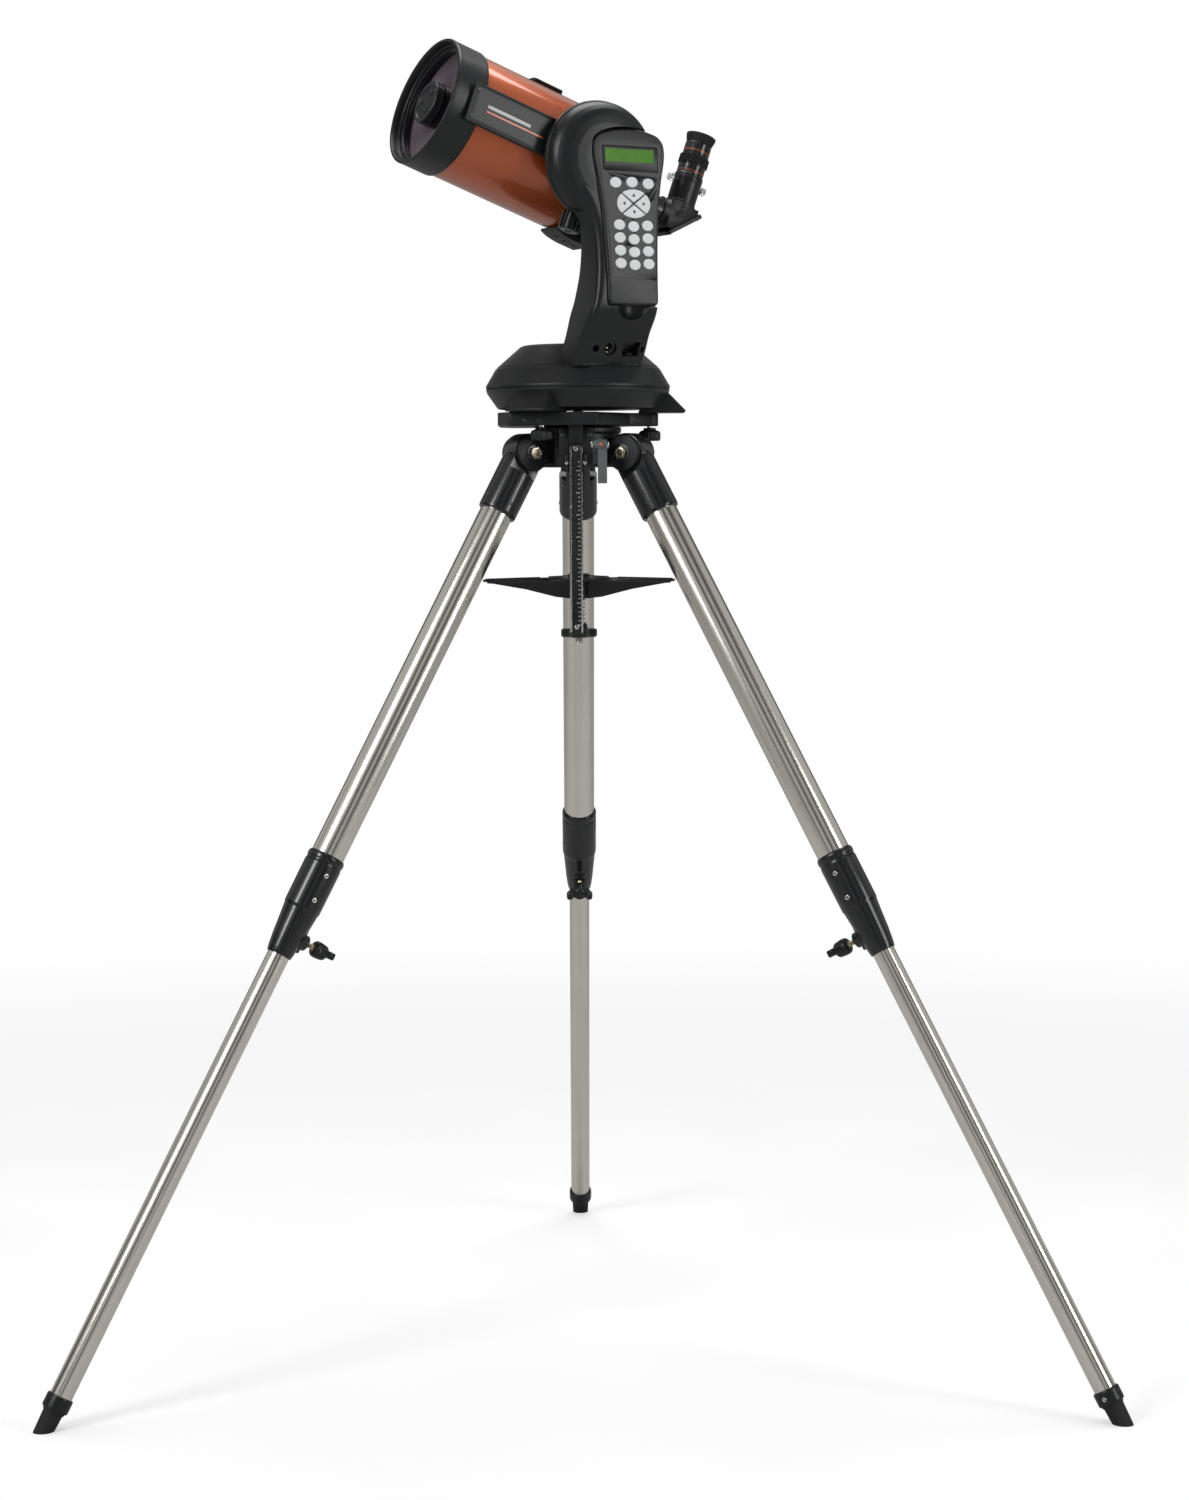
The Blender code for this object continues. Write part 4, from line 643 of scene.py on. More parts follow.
def make_tray():
    """Three-armed moulded tray, its threaded rod, spring and lobed knob."""
    outline = []
    for angle in LEG_AZIMUTHS:
        tip = math.asin(4 * MM / TRAY_R)
        outline += [polar(TRAY_R, angle + tip * k / 3) for k in range(-3, 4)]
        waist = angle + math.radians(60)
        outline += [polar((38 + 4.6 * (k / 3) ** 2) * MM, waist + math.radians(11 * k / 3)) for k in range(-9, 10)]
    plate = slab("tray_star", outline, TRAY_Z, TRAY_Z + 3 * MM, AXIS, 0.8 * MM, 3)
    settle(plate)
    joined = []
    for angle in LEG_AZIMUTHS:
        rib = [(8, -21.5), (30, -19), (70, -9.5), (113, -2.2), (121, -1.6), (121, 1.5), (8, 1.5)]
        rib = [(x * MM, y * MM) for x, y in rib]
        joined.append(settle(slab("rib", rib, -1.5 * MM, 1.5 * MM, shifted(AXIS, (0, 0, TRAY_Z), (math.pi / 2, 0, angle)), 0.5 * MM, 2)))
    profile = [(0, 8), (11.5, 8), (13, 6.5), (13, 3.5), (16, 2.6), (16, -2), (13, -3), (13, -19), (12, -21), (0, -21)]
    joined.append(turned("boss", [(r * MM, TRAY_Z + z * MM) for r, z in profile], AXIS, fillet=0.8 * MM))
    weld(plate, *joined)
    carve(plate, [rod("bore", 4.9 * MM, TRAY_Z - 30 * MM, TRAY_Z + 20 * MM, AXIS)])
    part(plate, "tray", PLASTIC, "black_plastic", "accessory_tray")
    rims = []
    for angle in LEG_AZIMUTHS:
        for side in (-1, 1):
            start, finish = polar(TRAY_R - 3 * MM, angle + side * 0.018), polar(46 * MM, angle + side * 0.62)
            middle = polar(72 * MM, angle + side * 0.26)
            path = []
            for k in range(13):
                t = k / 12
                path.append(tuple(start[a] * (1 - t) ** 2 + middle[a] * 2 * t * (1 - t) + finish[a] * t * t for a in (0, 1)) + (TRAY_Z + 3 * MM,))
            rims.append(wire("rim", path, 1.0 * MM, AXIS))
    part(merged("tray_rims", rims), "tray", PLASTIC, "black_plastic")
    profile = [(0, 831.0)]
    for k in range(170):
        low = 831.4 + 1.45 * k
        profile += [(4.05, low), (4.5, low + 0.5), (4.5, low + 0.75)]
    profile += [(4.1, 1080.5), (0, 1080.5)]
    rod_piece = turned("tray_threaded_rod", [(r * MM, z * MM) for r, z in profile if z <= 1080.5], AXIS, steps=40)
    part(rod_piece, "tripod", STEEL, "polished_steel", "tray_rod")
    turns, low, high = 6.2, 855.6 * MM, TRAY_Z - 22 * MM
    steps = int(turns * 28)
    path = [(*polar(6.7 * MM, 2 * math.pi * turns * i / steps), low + (high - low) * i / steps) for i in range(steps + 1)]
    part(wire("tray_coil", path, 0.85 * MM, AXIS), "tray", STEEL, "polished_steel", "tray_spring")
    outline = [polar((18.5 + 4.5 * math.cos(3 * a)) * MM, a + math.radians(30)) for a in [2 * math.pi * k / 120 for k in range(120)]]
    knob = settle(slab("tray_lobed_knob", outline, 838.5 * MM, 848.5 * MM, AXIS, 2.6 * MM, 5))
    profile = [(0, 855), (8.4, 855), (9.5, 853.8), (10.5, 848), (11, 847), (0, 846)]
    neck = turned("neck", [(r * MM, z * MM) for r, z in profile], AXIS, fillet=0.8 * MM, steps=72)
    weld(knob, neck)
    carve(knob, [rod("bore", 4.8 * MM, 830 * MM, 860 * MM, AXIS)])
    part(knob, "tray_knob_body", PLASTIC, "black_plastic", "tray_knob")


def make_tilt_plate():
    """Tilt plate with its rounded lug, latitude bar, lock lever, centre pin and captive knobs."""
    pivot = (0, HINGE_Y, (PLATE_BOTTOM + PLATE_TOP) / 2)
    hinge = shifted(AXIS, pivot)
    lug = [polar(10, math.radians(a)) for a in range(-90, 91, 10)]
    outline = [(-92, -52), (-78, -86), (22, -86), (26, -70), (60, -18)] + [(83 + x, y) for x, y in lug]
    outline += [(60, 18), (44, 60), (24, 83), (-78, 83), (-92, 52)]
    reach = [3, 3, 1.2, 2, 4] + [0] * len(lug) + [4, 4, 3, 3, 3]
    outline = soften(outline, reach, True, 6)
    outline = [(x * MM, y * MM - HINGE_Y) for x, y in outline]
    plate = settle(slab("tilt_plate_casting", outline, -7.5 * MM, 7.5 * MM, hinge, 1.1 * MM, 4))
    knuckle = rod("knuckle", 7.2 * MM, -17.5 * MM, 17.5 * MM, shifted(hinge, rotation=ALONG), 0.5 * MM)
    neck = block("neck", (-16.5 * MM, -12 * MM, -5 * MM), (16.5 * MM, 0, 5 * MM), hinge)
    lug = block("bar_lug", (-11.2 * MM, -72.9 * MM - HINGE_Y, -30 * MM), (5.2 * MM, -67.8 * MM - HINGE_Y, -6 * MM), hinge, 0.8 * MM)
    lug_eye = rod("bar_lug_eye", 4 * MM, -5.5 * MM, 5.5 * MM, shifted(hinge, (-3 * MM, -169.6 * MM, -33.5 * MM), ALONG), 0.4 * MM)
    weld(plate, knuckle, neck, lug, lug_eye)
    cuts = [rod("eye", 2.8 * MM, -60 * MM, 60 * MM, shifted(hinge, rotation=ALONG))]
    for angle in SCREW_AZIMUTHS:
        x, y = polar(SCREW_CIRCLE, angle)
        cuts.append(rod("hole", 3.4 * MM, -40 * MM, 40 * MM, shifted(hinge, (x, y - HINGE_Y, 0))))
    carve(plate, cuts)
    part(plate, "tilt_head", CASTING, "black_casting", "tilt_plate")
    profile = [(0, 1102.7), (2.2, 1102.7), (4, 1101.2), (6, 1101), (6, 1098.2), (6, 1096), (0, 1096)]
    centre = turned("centre_pin", [(r * MM, z * MM) for r, z in profile], AXIS, fillet=0.4 * MM, steps=64)
    part(centre, "tilt_head", STEEL, "black_casting")
    for number, (x, z) in enumerate(((-60, 1088), (-44, 1088)), 1):
        face = shifted(AXIS, (x * MM, -86 * MM, z * MM), (math.pi / 2, 0, 0))
        screw = turned(f"plate_set_screw_{number}", [(0, -0.2 * MM), (1.2 * MM, -0.2 * MM), (1.7 * MM, 0.15 * MM), (2.1 * MM, 0)], face, steps=40)
        part(screw, "tilt_head", DARK_METAL, "black_casting")

    pin = shifted(AXIS, (-3 * MM, -77.6 * MM, 1057 * MM))
    face = -4.3 * MM
    length = -210 * MM
    bar = settle(block("latitude_scale_bar", (-7.5 * MM, face - 4 * MM, length), (7.5 * MM, face, 3 * MM), pin, 0.5 * MM))
    carve(bar, [block("channel", (-4.9 * MM, face - 9 * MM, length + 5 * MM), (4.9 * MM, face - 3.1 * MM, 0), pin)])
    rounding(bar, 0.25 * MM, 2, 40)
    part(bar, "latitude_bar_body", GLOSS, "gloss_black", "latitude_bar")
    for label, x in (("a", -6.3 * MM), ("b", 6.3 * MM)):
        edge = block(f"latitude_edge_{label}", (x - 1.0 * MM, face - 4.25 * MM, length + 1 * MM), (x + 1.0 * MM, face - 3.9 * MM, 2.4 * MM), pin, 0.12 * MM, 2)
        part(edge, "latitude_bar_body", CHROME, "gloss_black")
    rim = block("latitude_edge_top", (-7.3 * MM, face - 4.25 * MM, 1.1 * MM), (7.3 * MM, face - 3.9 * MM, 2.8 * MM), pin, 0.12 * MM, 2)
    part(rim, "latitude_bar_body", CHROME, "gloss_black")
    marks = []
    for k in range(38):
        z = length + 9 * MM + 5 * MM * k
        reach = 4.2 * MM if k % 5 == 0 else 2.2 * MM
        low = (4.6 * MM - reach, face - 3.25 * MM, z)
        marks.append(block("mark", low, (4.6 * MM, face - 3.05 * MM, z + 0.7 * MM), pin))
    part(merged("latitude_marks", marks), "latitude_bar_body", TICKS, "gloss_black")
    for label, z in (("top", -1), ("end", -203)):
        stud = rod(f"latitude_stud_{label}", 2.6 * MM, 0, 5.0 * MM, shifted(pin, (0, face, z * MM), (math.pi / 2, 0, 0)), 0.7 * MM, 48)
        part(stud, "latitude_bar_body", CHROME, "gloss_black")

    bolt = shifted(AXIS, (27 * MM, -66 * MM, 1061 * MM))
    across = shifted(bolt, rotation=ALONG)
    head = turned("lock_lever_hub", [(r * MM, z * MM) for r, z in ((0, 6), (5.2, 6), (6.5, 4.6), (6.5, -9), (5.6, -10.5), (0, -10.5))],
                  across, fillet=0.6 * MM, steps=72)
    blade = [(-2, -4), (-9, -2), (-14, -6), (-14.2, -36), (-12.6, -44), (-8.4, -44), (-7, -36), (-5.5, -10), (-1, -6)]
    blade = soften([(x * MM, y * MM) for x, y in blade], 1.2 * MM, True, 4)
    upright = shifted(bolt, rotation=(math.pi / 2, 0, math.pi / 2))
    handle = slab("lock_lever_handle", blade, -5 * MM, 5.5 * MM, upright, 0.9 * MM, 3)
    part(handle, "lock_lever_body", GREY_METAL, "lever_steel")
    part(head, "lock_lever_body", GREY_METAL, "lever_steel", "lock_lever")
    cap = turned("lock_bolt_cap", [(r * MM, z * MM) for r, z in ((0, 8.4), (3.4, 8.2), (4.6, 7), (4.6, 5.8))], across, fillet=0.6 * MM, steps=64)
    part(cap, "lock_lever_body", CHROME, "lever_steel")
    front = shifted(bolt, (-1 * MM, -6.3 * MM, 0), (math.pi / 2, 0, 0))
    dot = turned("lock_lever_dot", [(0, 0.55 * MM), (1.4 * MM, 0.45 * MM), (2.0 * MM, 0.1 * MM), (2.0 * MM, -1 * MM)], front, steps=48)
    part(dot, "lock_lever_body", PRINT, "lever_steel")
    ring = pipe("lock_bolt_ring", 7.6 * MM, 4.0 * MM, -12.6 * MM, -10.7 * MM, across, 0.4 * MM, 72)
    part(ring, "tripod", CHROME, "polished_steel")
    post = rod("lock_bolt_shank", 3.9 * MM, -13.5 * MM, -10.4 * MM, across, 0, 48)
    part(post, "tripod", STEEL, "polished_steel")

    def grip(angle, radius, height):
        return radius - (0.7 * MM * (0.5 + 0.5 * math.cos(20 * angle)) if radius > 12 * MM else 0)

    for number, angle in enumerate(SCREW_AZIMUTHS, 1):
        x, y = polar(SCREW_CIRCLE, angle)
        spot = shifted(AXIS, (x, y, PLATE_BOTTOM))
        profile = [(0, -2), (7, -2), (7.4, -4.6), (11, -5.6), (12.7, -7.6), (12.7, -15), (11.2, -17), (5, -17.2), (4.4, -15.8), (0, -15.8)]
        knob = turned(f"captive_knob_{number}", [(r * MM, z * MM) for r, z in profile], spot, fillet=0.8 * MM, steps=160, wave=grip)
        part(knob, f"mounting_knob_body_{number}", PLASTIC, "black_plastic", f"mounting_knob_{number}")
        shank = rod(f"captive_screw_{number}", 3 * MM, -2.5 * MM, 24 * MM, spot, 0.5 * MM, 40)
        part(shank, f"mounting_knob_body_{number}", STEEL, "black_plastic")


make_hub()
make_guide_details()
for number, angle in enumerate(LEG_AZIMUTHS, 1):
    make_leg(number, angle)
make_tray()
make_tilt_plate()


# Mount

def make_base():
    """Fixed dish with wedge feet, the turning shell above its split line, and the two worm wheels inside."""
    profile = [(0, 1158), (12, 1158), (12, 1110), (17, 1109), (17, 1107), (88, 1107), (98, 1125.6), (106.3, 1125.6),
               (106.3, 1124), (104.6, 1120), (93.5, 1104.2), (92, 1103), (0, 1103)]
    dish = turned("base_dish", [(r * MM, z * MM) for r, z in profile], MOUNT, fillet=0.9 * MM, steps=180)
    feet = []
    for angle in SCREW_AZIMUTHS:
        turn = shifted(AXIS, rotation=(0, 0, angle))
        side = [(70, 1098.3), (123.4, 1098.3), (124.2, 1100.6), (102.5, 1123), (80, 1123)]
        side = soften([(x * MM, z * MM) for x, z in side], [0, 1.2 * MM, 1.2 * MM, 1.5 * MM, 0], True)
        sections = []
        for half, trim in ((-25.5, 0.92), (-24.6, 0.985), (-22, 1), (22, 1), (24.6, 0.985), (25.5, 0.92)):
            ring = []
            for x, z in side:
                lean = 0.16 * (z - 1098.3 * MM)
                across = half * MM - math.copysign(lean, half)
                ring.append((70 * MM + (x - 70 * MM) * trim, across, z))
            sections.append(ring)
        feet.append(loft("foot", sections, turn))
    weld(dish, *feet)
    holes = []
    for angle in SCREW_AZIMUTHS:
        holes.append(rod("hole", 3.3 * MM, 1090 * MM, 1130 * MM, shifted(AXIS, (*polar(SCREW_CIRCLE, angle), 0))))
    carve(dish, holes)
    rounding(dish, 0.7 * MM, 3, 38)
    part(dish, "tilt_head", CASTING, "black_casting", "lower_base")
    profile = [
        (12.3, 1175.4), (20, 1176), (61.5, 1176), (66, 1174.6), (92.5, 1151.4), (94, 1149.4), (95.2, 1148.6), (105.0, 1131.8),
        (106.5, 1129.4), (106.5, 1126.4), (102.5, 1126.4), (88, 1148), (61, 1172), (20, 1172), (20, 1126.4), (12.3, 1126.4),
    ]
    reach = [0, 1.5, 2.4, 2.4, 1.2, 0.5, 0.5, 1.2, 0.8, 0.4, 0, 0, 0, 0, 0, 0]
    shell = turned("base_shell", soften([(r * MM, z * MM) for r, z in profile], [r * MM for r in reach], True),
                   MOUNT, ring=True, steps=220)
    part(shell, "mount", CASTING, "black_casting", "upper_base")
    seam = pipe("base_seam", 104.4 * MM, 100.4 * MM, 1125.7 * MM, 1126.3 * MM, MOUNT, 0, 180)
    part(seam, "tilt_head", INSIDE, "black_casting")
    for name, body, low, high, base, teeth, root, tip, bore in (
            ("azimuth_worm_wheel", "tilt_head", 1111, 1119, MOUNT, 60, 61, 63.5, 12.3),
            ("altitude_worm_wheel", "tube", 92, 97.5, shifted(TUBE, rotation=SIDEWAYS), 48, 29.6, 31.5, 8.3)):
        outline = []
        for k in range(teeth):
            for share, radius in ((0, root), (0.3, root), (0.45, tip), (0.8, tip)):
                outline.append(polar(radius * MM, 2 * math.pi * (k + share) / teeth))
        wheel = slab(name + "_cut", outline, low * MM, high * MM, base)
        carve(wheel, [rod("bore", bore * MM, (low - 3) * MM, (high + 3) * MM, base)])
        part(wheel, body, BRASS, "brass", name)


def blended(rows, count):
    """Rows of numbers joined by smooth curves, count steps between each pair."""
    out = []
    for i in range(len(rows) - 1):
        ends = [rows[max(i - 1, 0)], rows[i], rows[i + 1], rows[min(i + 2, len(rows) - 1)]]
        for k in range(count):
            t = k / count
            out.append([
                0.5 * (2 * b + (c - a) * t + (2 * a - 5 * b + 4 * c - d) * t * t + (3 * b - a - 3 * c + d) * t ** 3)
                for a, b, c, d in zip(*ends)])
    out.append(list(rows[-1]))
    return out


def pad_outline(grow, open_side=0.0):
    """The controller's outline: X across, Y up, widened by grow, longer on the right by open_side."""
    half = [(30, 0.2), (32, 4), (32.5, 30), (34, 70), (37, 110), (41.5, 140), (46, 160), (47.2, 172), (45.4, 183), (38, 190.5), (20, 196)]
    half = [(x + grow, y + grow * (1 if y > 100 else -1) * (y < 2 or y > 180)) for x, y in half]
    right = [(0, -0.5 - grow)] + half + [(0, 197.5 + grow)]
    left = [(-x, y) for x, y in reversed(half)]
    right = [(x + open_side if x else 0, y) for x, y in right]
    reach = [4] + [2.5, 2.5, 12, 14, 12, 9, 7, 5, 5, 4, 8] + [8] + [8, 4, 5, 5, 7, 9, 12, 14, 12, 2.5, 2.5]
    points = [(x * MM, y * MM) for x, y in right + left]
    return soften(points, [r * MM for r in reach], True, 6)


def make_arm():
    """Fork arm: smooth curved leg, round head with a ring behind it, controller recess and socket panel."""
    rows = [
        (1149, 54, 89.5, -42, 57, -34.5, 50), (1168, 57, 98.5, -42, 54, -35.5, 49.5),
        (1186, 61, 107, -42, 50.5, -36, 49), (1206, 65, 120, -42, 47.5, -37, 46), (1225, 69, 123.5, -42, 43.5, -38, 42),
        (1260, 77, 121.5, -42, 41, -38, 38), (1300, 86, 119, -44, 46, -40, 39.5), (1330, 88, 117, -48, 62, -41.5, 48),
        (1352, 88, 115, -52, 76, -42, 60), (1385, 88, 112, -52, 82, -42, 66),
    ]
    sections = []
    for z, inner, outer, back_low, back_high, front_low, front_high in blended(rows, 7):
        corners = [(back_low, inner), (back_high, inner), (front_high, outer), (front_low, outer)]
        ring = soften([(x * MM, y * MM) for x, y in corners], [5 * MM, 7 * MM, 8 * MM, 5 * MM], True, 7)
        sections.append([(x, y, z * MM) for x, y in ring])
    arm = loft("fork_arm_shell", sections, MOUNT)
    head = shifted(MOUNT, (22 * MM, 0, ALTITUDE_Z - 5.5 * MM), SIDEWAYS)
    profile = [
        (0, 117.4), (14, 117.3), (28, 116.9), (40, 115.9), (49, 114.0), (56, 111.2), (61, 107.4), (64.2, 102.8), (65.6, 98),
        (65.8, 95.6), (64.6, 94.8), (64.6, 93.9), (67.0, 93.0), (67.2, 88.0), (66, 85.4), (63, 84.4), (49.3, 84.4), (49.3, 87), (0, 87),
    ]
    dome = turned("dome", [(r * MM, z * MM) for r, z in profile], head, fillet=1.4 * MM, steps=200)
    weld(arm, dome)
    cuts = [slab("recess", pad_outline(1.3, 15), -13.3 * MM, 12 * MM, PAD)]
    panel = shifted(MOUNT, (4 * MM, 89.5 * MM, 1149 * MM), (-math.atan2(17.5, 37), 0, 0))
    for x, half, height in ((-19, 10.5, 8.5), (-33.4, 1.6, 3.2)):
        cuts.append(block("socket", ((x - half) * MM, -13 * MM, (21 - height) * MM), ((x + half) * MM, 8 * MM, (21 + height) * MM), panel))
    upright = shifted(panel, (0, 0, 21 * MM), SIDEWAYS)
    for x, radius, depth in ((8, 8.0, -13), (26.5, 4.2, -9)):
        cuts.append(rod("jack", radius * MM, depth * MM, 10 * MM, shifted(upright, (x * MM, 0, 0)), steps=64))
    notch = turned("notch", [(0, 21.4 * MM)] + [(21.4 * MM * math.sin(math.radians(a)), 21.4 * MM * math.cos(math.radians(a)))
                   for a in range(6, 176, 6)] + [(0, -21.4 * MM)], shifted(MOUNT, (PAD_X - 1 * MM, 133 * MM, 1213 * MM)), steps=80)
    cuts.append(notch)
    axle = shifted(MOUNT, (ALTITUDE_X, 0, ALTITUDE_Z), SIDEWAYS)
    cuts.append(rod("hub_bore", 19 * MM, 70 * MM, 92.0 * MM, axle))
    carve(arm, cuts)
    rounding(arm, 0.7 * MM, 3, 40)
    part(arm, "mount", SATIN, "black_casting", "fork_arm")
    lip = block("arm_foot_lip", (-33.5 * MM, -1.5 * MM, -0.6 * MM), (41 * MM, 1.0 * MM, 3.6 * MM), panel, 0.7 * MM)
    part(lip, "mount", PLASTIC, "black_casting")
    frame_line = []
    for low, high in (((-36.5, 34.2), (41, 35.2)),):
        frame_line.append(block("line", (low[0] * MM, -2 * MM, low[1] * MM), (high[0] * MM, 0.45 * MM, high[1] * MM), panel, 0.3 * MM, 2))
    part(merged("arm_panel_ridge", frame_line), "mount", SATIN, "black_casting")
    floor = shifted(panel, (-19 * MM, -11.6 * MM, 21 * MM), (math.pi / 2, 0, 0))
    ridges = [block("contact", ((k * 2.1 - 6.8) * MM, 2.8 * MM, -4.6 * MM), ((k * 2.1 - 5.9) * MM, 5.6 * MM, -0.4 * MM), floor) for k in range(7)]
    part(merged("socket_contacts", ridges), "mount", DARK_METAL, "black_casting")
    tongue = block("socket_latch", (-4.2 * MM, -8.3 * MM, -10 * MM), (4.2 * MM, -5.8 * MM, -0.4 * MM), floor, 0.3 * MM)
    part(tongue, "mount", INSIDE, "black_casting")
    jack = shifted(upright, (8 * MM, 0, 0))
    part(pipe("power_jack_ring", 7.9 * MM, 6.3 * MM, -11 * MM, -2.2 * MM, jack, 0.5 * MM, 72), "mount", INSIDE, "black_casting")
    pin = turned("power_jack_pin", [(r * MM, z * MM) for r, z in ((0, -2.0), (1.3, -2.5), (1.8, -3.6), (1.8, -12.8), (0, -12.8))],
                 shifted(jack, (3.0 * MM, 0, 0)), steps=40)
    part(pin, "mount", BRASS, "black_casting")
    part(pipe("power_jack_sleeve", 6.3 * MM, 5.8 * MM, -11 * MM, -4.5 * MM, jack, 0.2 * MM, 64), "mount", CHROME, "black_casting")


def oval(x, y, width, height, count=64):
    turns = [2 * math.pi * k / count for k in range(count)]
    return [((x + width / 2 * math.cos(t)) * MM, (y + height / 2 * math.sin(t)) * MM) for t in turns]


def quarter(x, y, width, height, middle, gap):
    """One quarter of the oval direction pad, cut by the diagonal gaps."""
    points = []
    for k in range(25):
        angle = math.radians(middle - 45 + 90 * k / 24)
        points.append((width / 2 * math.cos(angle), height / 2 * math.sin(angle)))
    across = (Vector(points[-1]) - Vector(points[0])).normalized() * gap
    points[0] = tuple(Vector(points[0]) + across)
    points[-1] = tuple(Vector(points[-1]) - across)
    turn = math.radians(middle)
    points.append((gap * 1.75 * math.cos(turn), gap * 1.3 * math.sin(turn)))
    reach = [0.9] + [0] * 23 + [0.9, 1.0]
    return [((px + x) * MM, (py + y) * MM) for px, py in soften(points, reach, True, 4)]


def make_controller():
    """Hand controller: rounded shell, glossy window over the display, soft keys, direction pad and keypad."""
    shell = slab("controller_shell", pad_outline(0), -13 * MM, 0, PAD)
    rounding(shell, 4.2 * MM, 6, 60)
    settle(shell)
    cuts = [slab("pocket", soften([(-33.9 * MM, 149.1 * MM), (36.9 * MM, 149.1 * MM), (36.9 * MM, 177.4 * MM), (-33.9 * MM, 177.4 * MM)],
                                  1.6 * MM, True, 4), -2.5 * MM, 5 * MM, PAD)]
    for number, x in enumerate((-18.5, 2.5, 23.5), 1):
        cuts.append(slab("pocket", oval(x, 136 + (1 if number == 2 else 0), 15.0, 13.0), -2.9 * MM, 5 * MM, PAD))
    for middle in (0, 90, 180, 270):
        cuts.append(slab("pocket", quarter(3.5, 113, 43, 33, middle, 0.75), -2.9 * MM, 5 * MM, PAD))
    for row in range(4):
        for column in (-1, 0, 1):
            y = 89 - 14.3 * row - (1.5 if column == 0 else 0)
            cuts.append(slab("pocket", oval(2.5 + 18 * column, y, 14.6, 12.6, 48), -2.0 * MM, 5 * MM, PAD))
    line = [(-27.5, 30.4), (-10, 29.4), (3, 29.1), (16, 29.4), (33, 30.4), (33, 29.7), (16, 28.7), (3, 28.4), (-10, 28.7), (-27.5, 29.7)]
    cuts.append(slab("groove", [(x * MM, y * MM) for x, y in line], -0.7 * MM, 5 * MM, PAD))
    side = [(-28.2, 30), (-27.5, 30), (-28.5, 70), (-30.8, 105), (-35.6, 140), (-38.5, 163), (-39.2, 163), (-36.3, 140), (-31.5, 105), (-29.2, 70)]
    cuts.append(slab("groove", [(x * MM, y * MM) for x, y in side], -0.5 * MM, 5 * MM, PAD))
    carve(shell, cuts)
    rounding(shell, 0.3 * MM, 2, 50)
    part(shell, "mount", SATIN, "black_casting", "controller_body")

    glass = [(-33.5 * MM, 149.5 * MM), (36.5 * MM, 149.5 * MM), (36.5 * MM, 177 * MM), (-33.5 * MM, 177 * MM)]
    window = slab("window_frame", soften(glass, 1.5 * MM, True, 4), -2.3 * MM, -0.35 * MM, PAD, 0.3 * MM)
    carve(window, [slab("pocket", [(-30.0 * MM, 159.2 * MM), (32.5 * MM, 159.2 * MM), (32.5 * MM, 174.2 * MM), (-30.0 * MM, 174.2 * MM)],
                        -0.75 * MM, 5 * MM, PAD)])
    part(window, "mount", BEZEL, "display", "display_window")
    lcd = block("green_panel", (-29.8 * MM, 159.4 * MM, -0.9 * MM), (32.3 * MM, 174.0 * MM, -0.5 * MM), PAD, 0.15 * MM)
    part(lcd, "mount", DISPLAY, "display")

    for number, x in enumerate((-18.5, 2.5, 23.5), 1):
        key = slab(f"soft_key_cap_{number}", oval(x, 136 + (1 if number == 2 else 0), 14, 12), -1.6 * MM, 1.5 * MM, PAD, 1.0 * MM, 4)
        part(key, f"soft_key_{number}_body", KEYS, "pale_key", f"soft_key_{number}")
    arrow = {"right": 0, "up": 90, "left": 180, "down": 270}
    for name, middle in arrow.items():
        body = f"direction_key_{name}_body"
        key = slab("direction_cap_" + name, quarter(3.5, 113, 42, 32, middle, 1.15), -1.6 * MM, 1.5 * MM, PAD, 0.8 * MM, 4)
        part(key, body, KEYS, "pale_key", "direction_key_" + name)
        reach_x, reach_y = 12.6 * math.cos(math.radians(middle)), 9.4 * math.sin(math.radians(middle))
        spot = shifted(PAD, ((3.5 + reach_x) * MM, (113 + reach_y) * MM, 1.45 * MM), (0, 0, math.radians(middle)))
        sign = slab("arrow_" + name, [(-1.6 * MM, -2.1 * MM), (2.3 * MM, 0), (-1.6 * MM, 2.1 * MM)], 0, 0.12 * MM, spot)
        part(sign, body, SIGN, "pale_key")
    mat = soften([(-23.8 * MM, 38.5 * MM), (28.8 * MM, 38.5 * MM), (28.8 * MM, 96 * MM), (-23.8 * MM, 96 * MM)], 5 * MM, True, 5)
    part(slab("keypad_mat", mat, -2.9 * MM, -2.1 * MM, PAD), "mount", KEYS, "pale_key", "number_keys")
    for row in range(4):
        for column in (-1, 0, 1):
            y = 89 - 14.3 * row - (1.5 if column == 0 else 0)
            key = slab(f"number_key_{row * 3 + column + 2}", oval(2.5 + 18 * column, y, 13.8, 11.8, 56), -2.2 * MM, 1.5 * MM, PAD, 1.0 * MM, 4)
            part(key, "mount", KEYS, "pale_key")


make_base()
make_arm()
make_controller()


# Tube assembly

LINE = shifted(TUBE, rotation=ALONG)
SIDE = shifted(TUBE, rotation=SIDEWAYS)
EYE = shifted(TUBE, (DIAGONAL_X, 0, 0))


def millimetres(points):
    return [(a * MM, b * MM) for a, b in points]


def cap_screw(name, base, radius, body, finish=DARK_METAL, slot="black_casting"):
    """Small round screw head with a socket, standing on the XY plane of its frame."""
    profile = [(0, 0.35 * radius), (0.45 * radius, 0.35 * radius), (0.5 * radius, 0.75 * radius),
               (0.8 * radius, 0.75 * radius), (radius, 0.5 * radius), (radius, -0.2 * radius)]
    part(turned(name, profile, base, fillet=0.1 * radius, steps=40), body, finish, slot)


def ribs(count, depth, low, high, flat=0.35):
    """A wave for turned(): straight ribs between two heights, with soft flanks."""
    def wave(angle, radius, height):
        if not low <= height <= high:
            return radius
        push = math.cos(count * angle)
        return radius - depth * max(0.0, min(1.0, (flat - push) / (2 * flat)))
    return wave


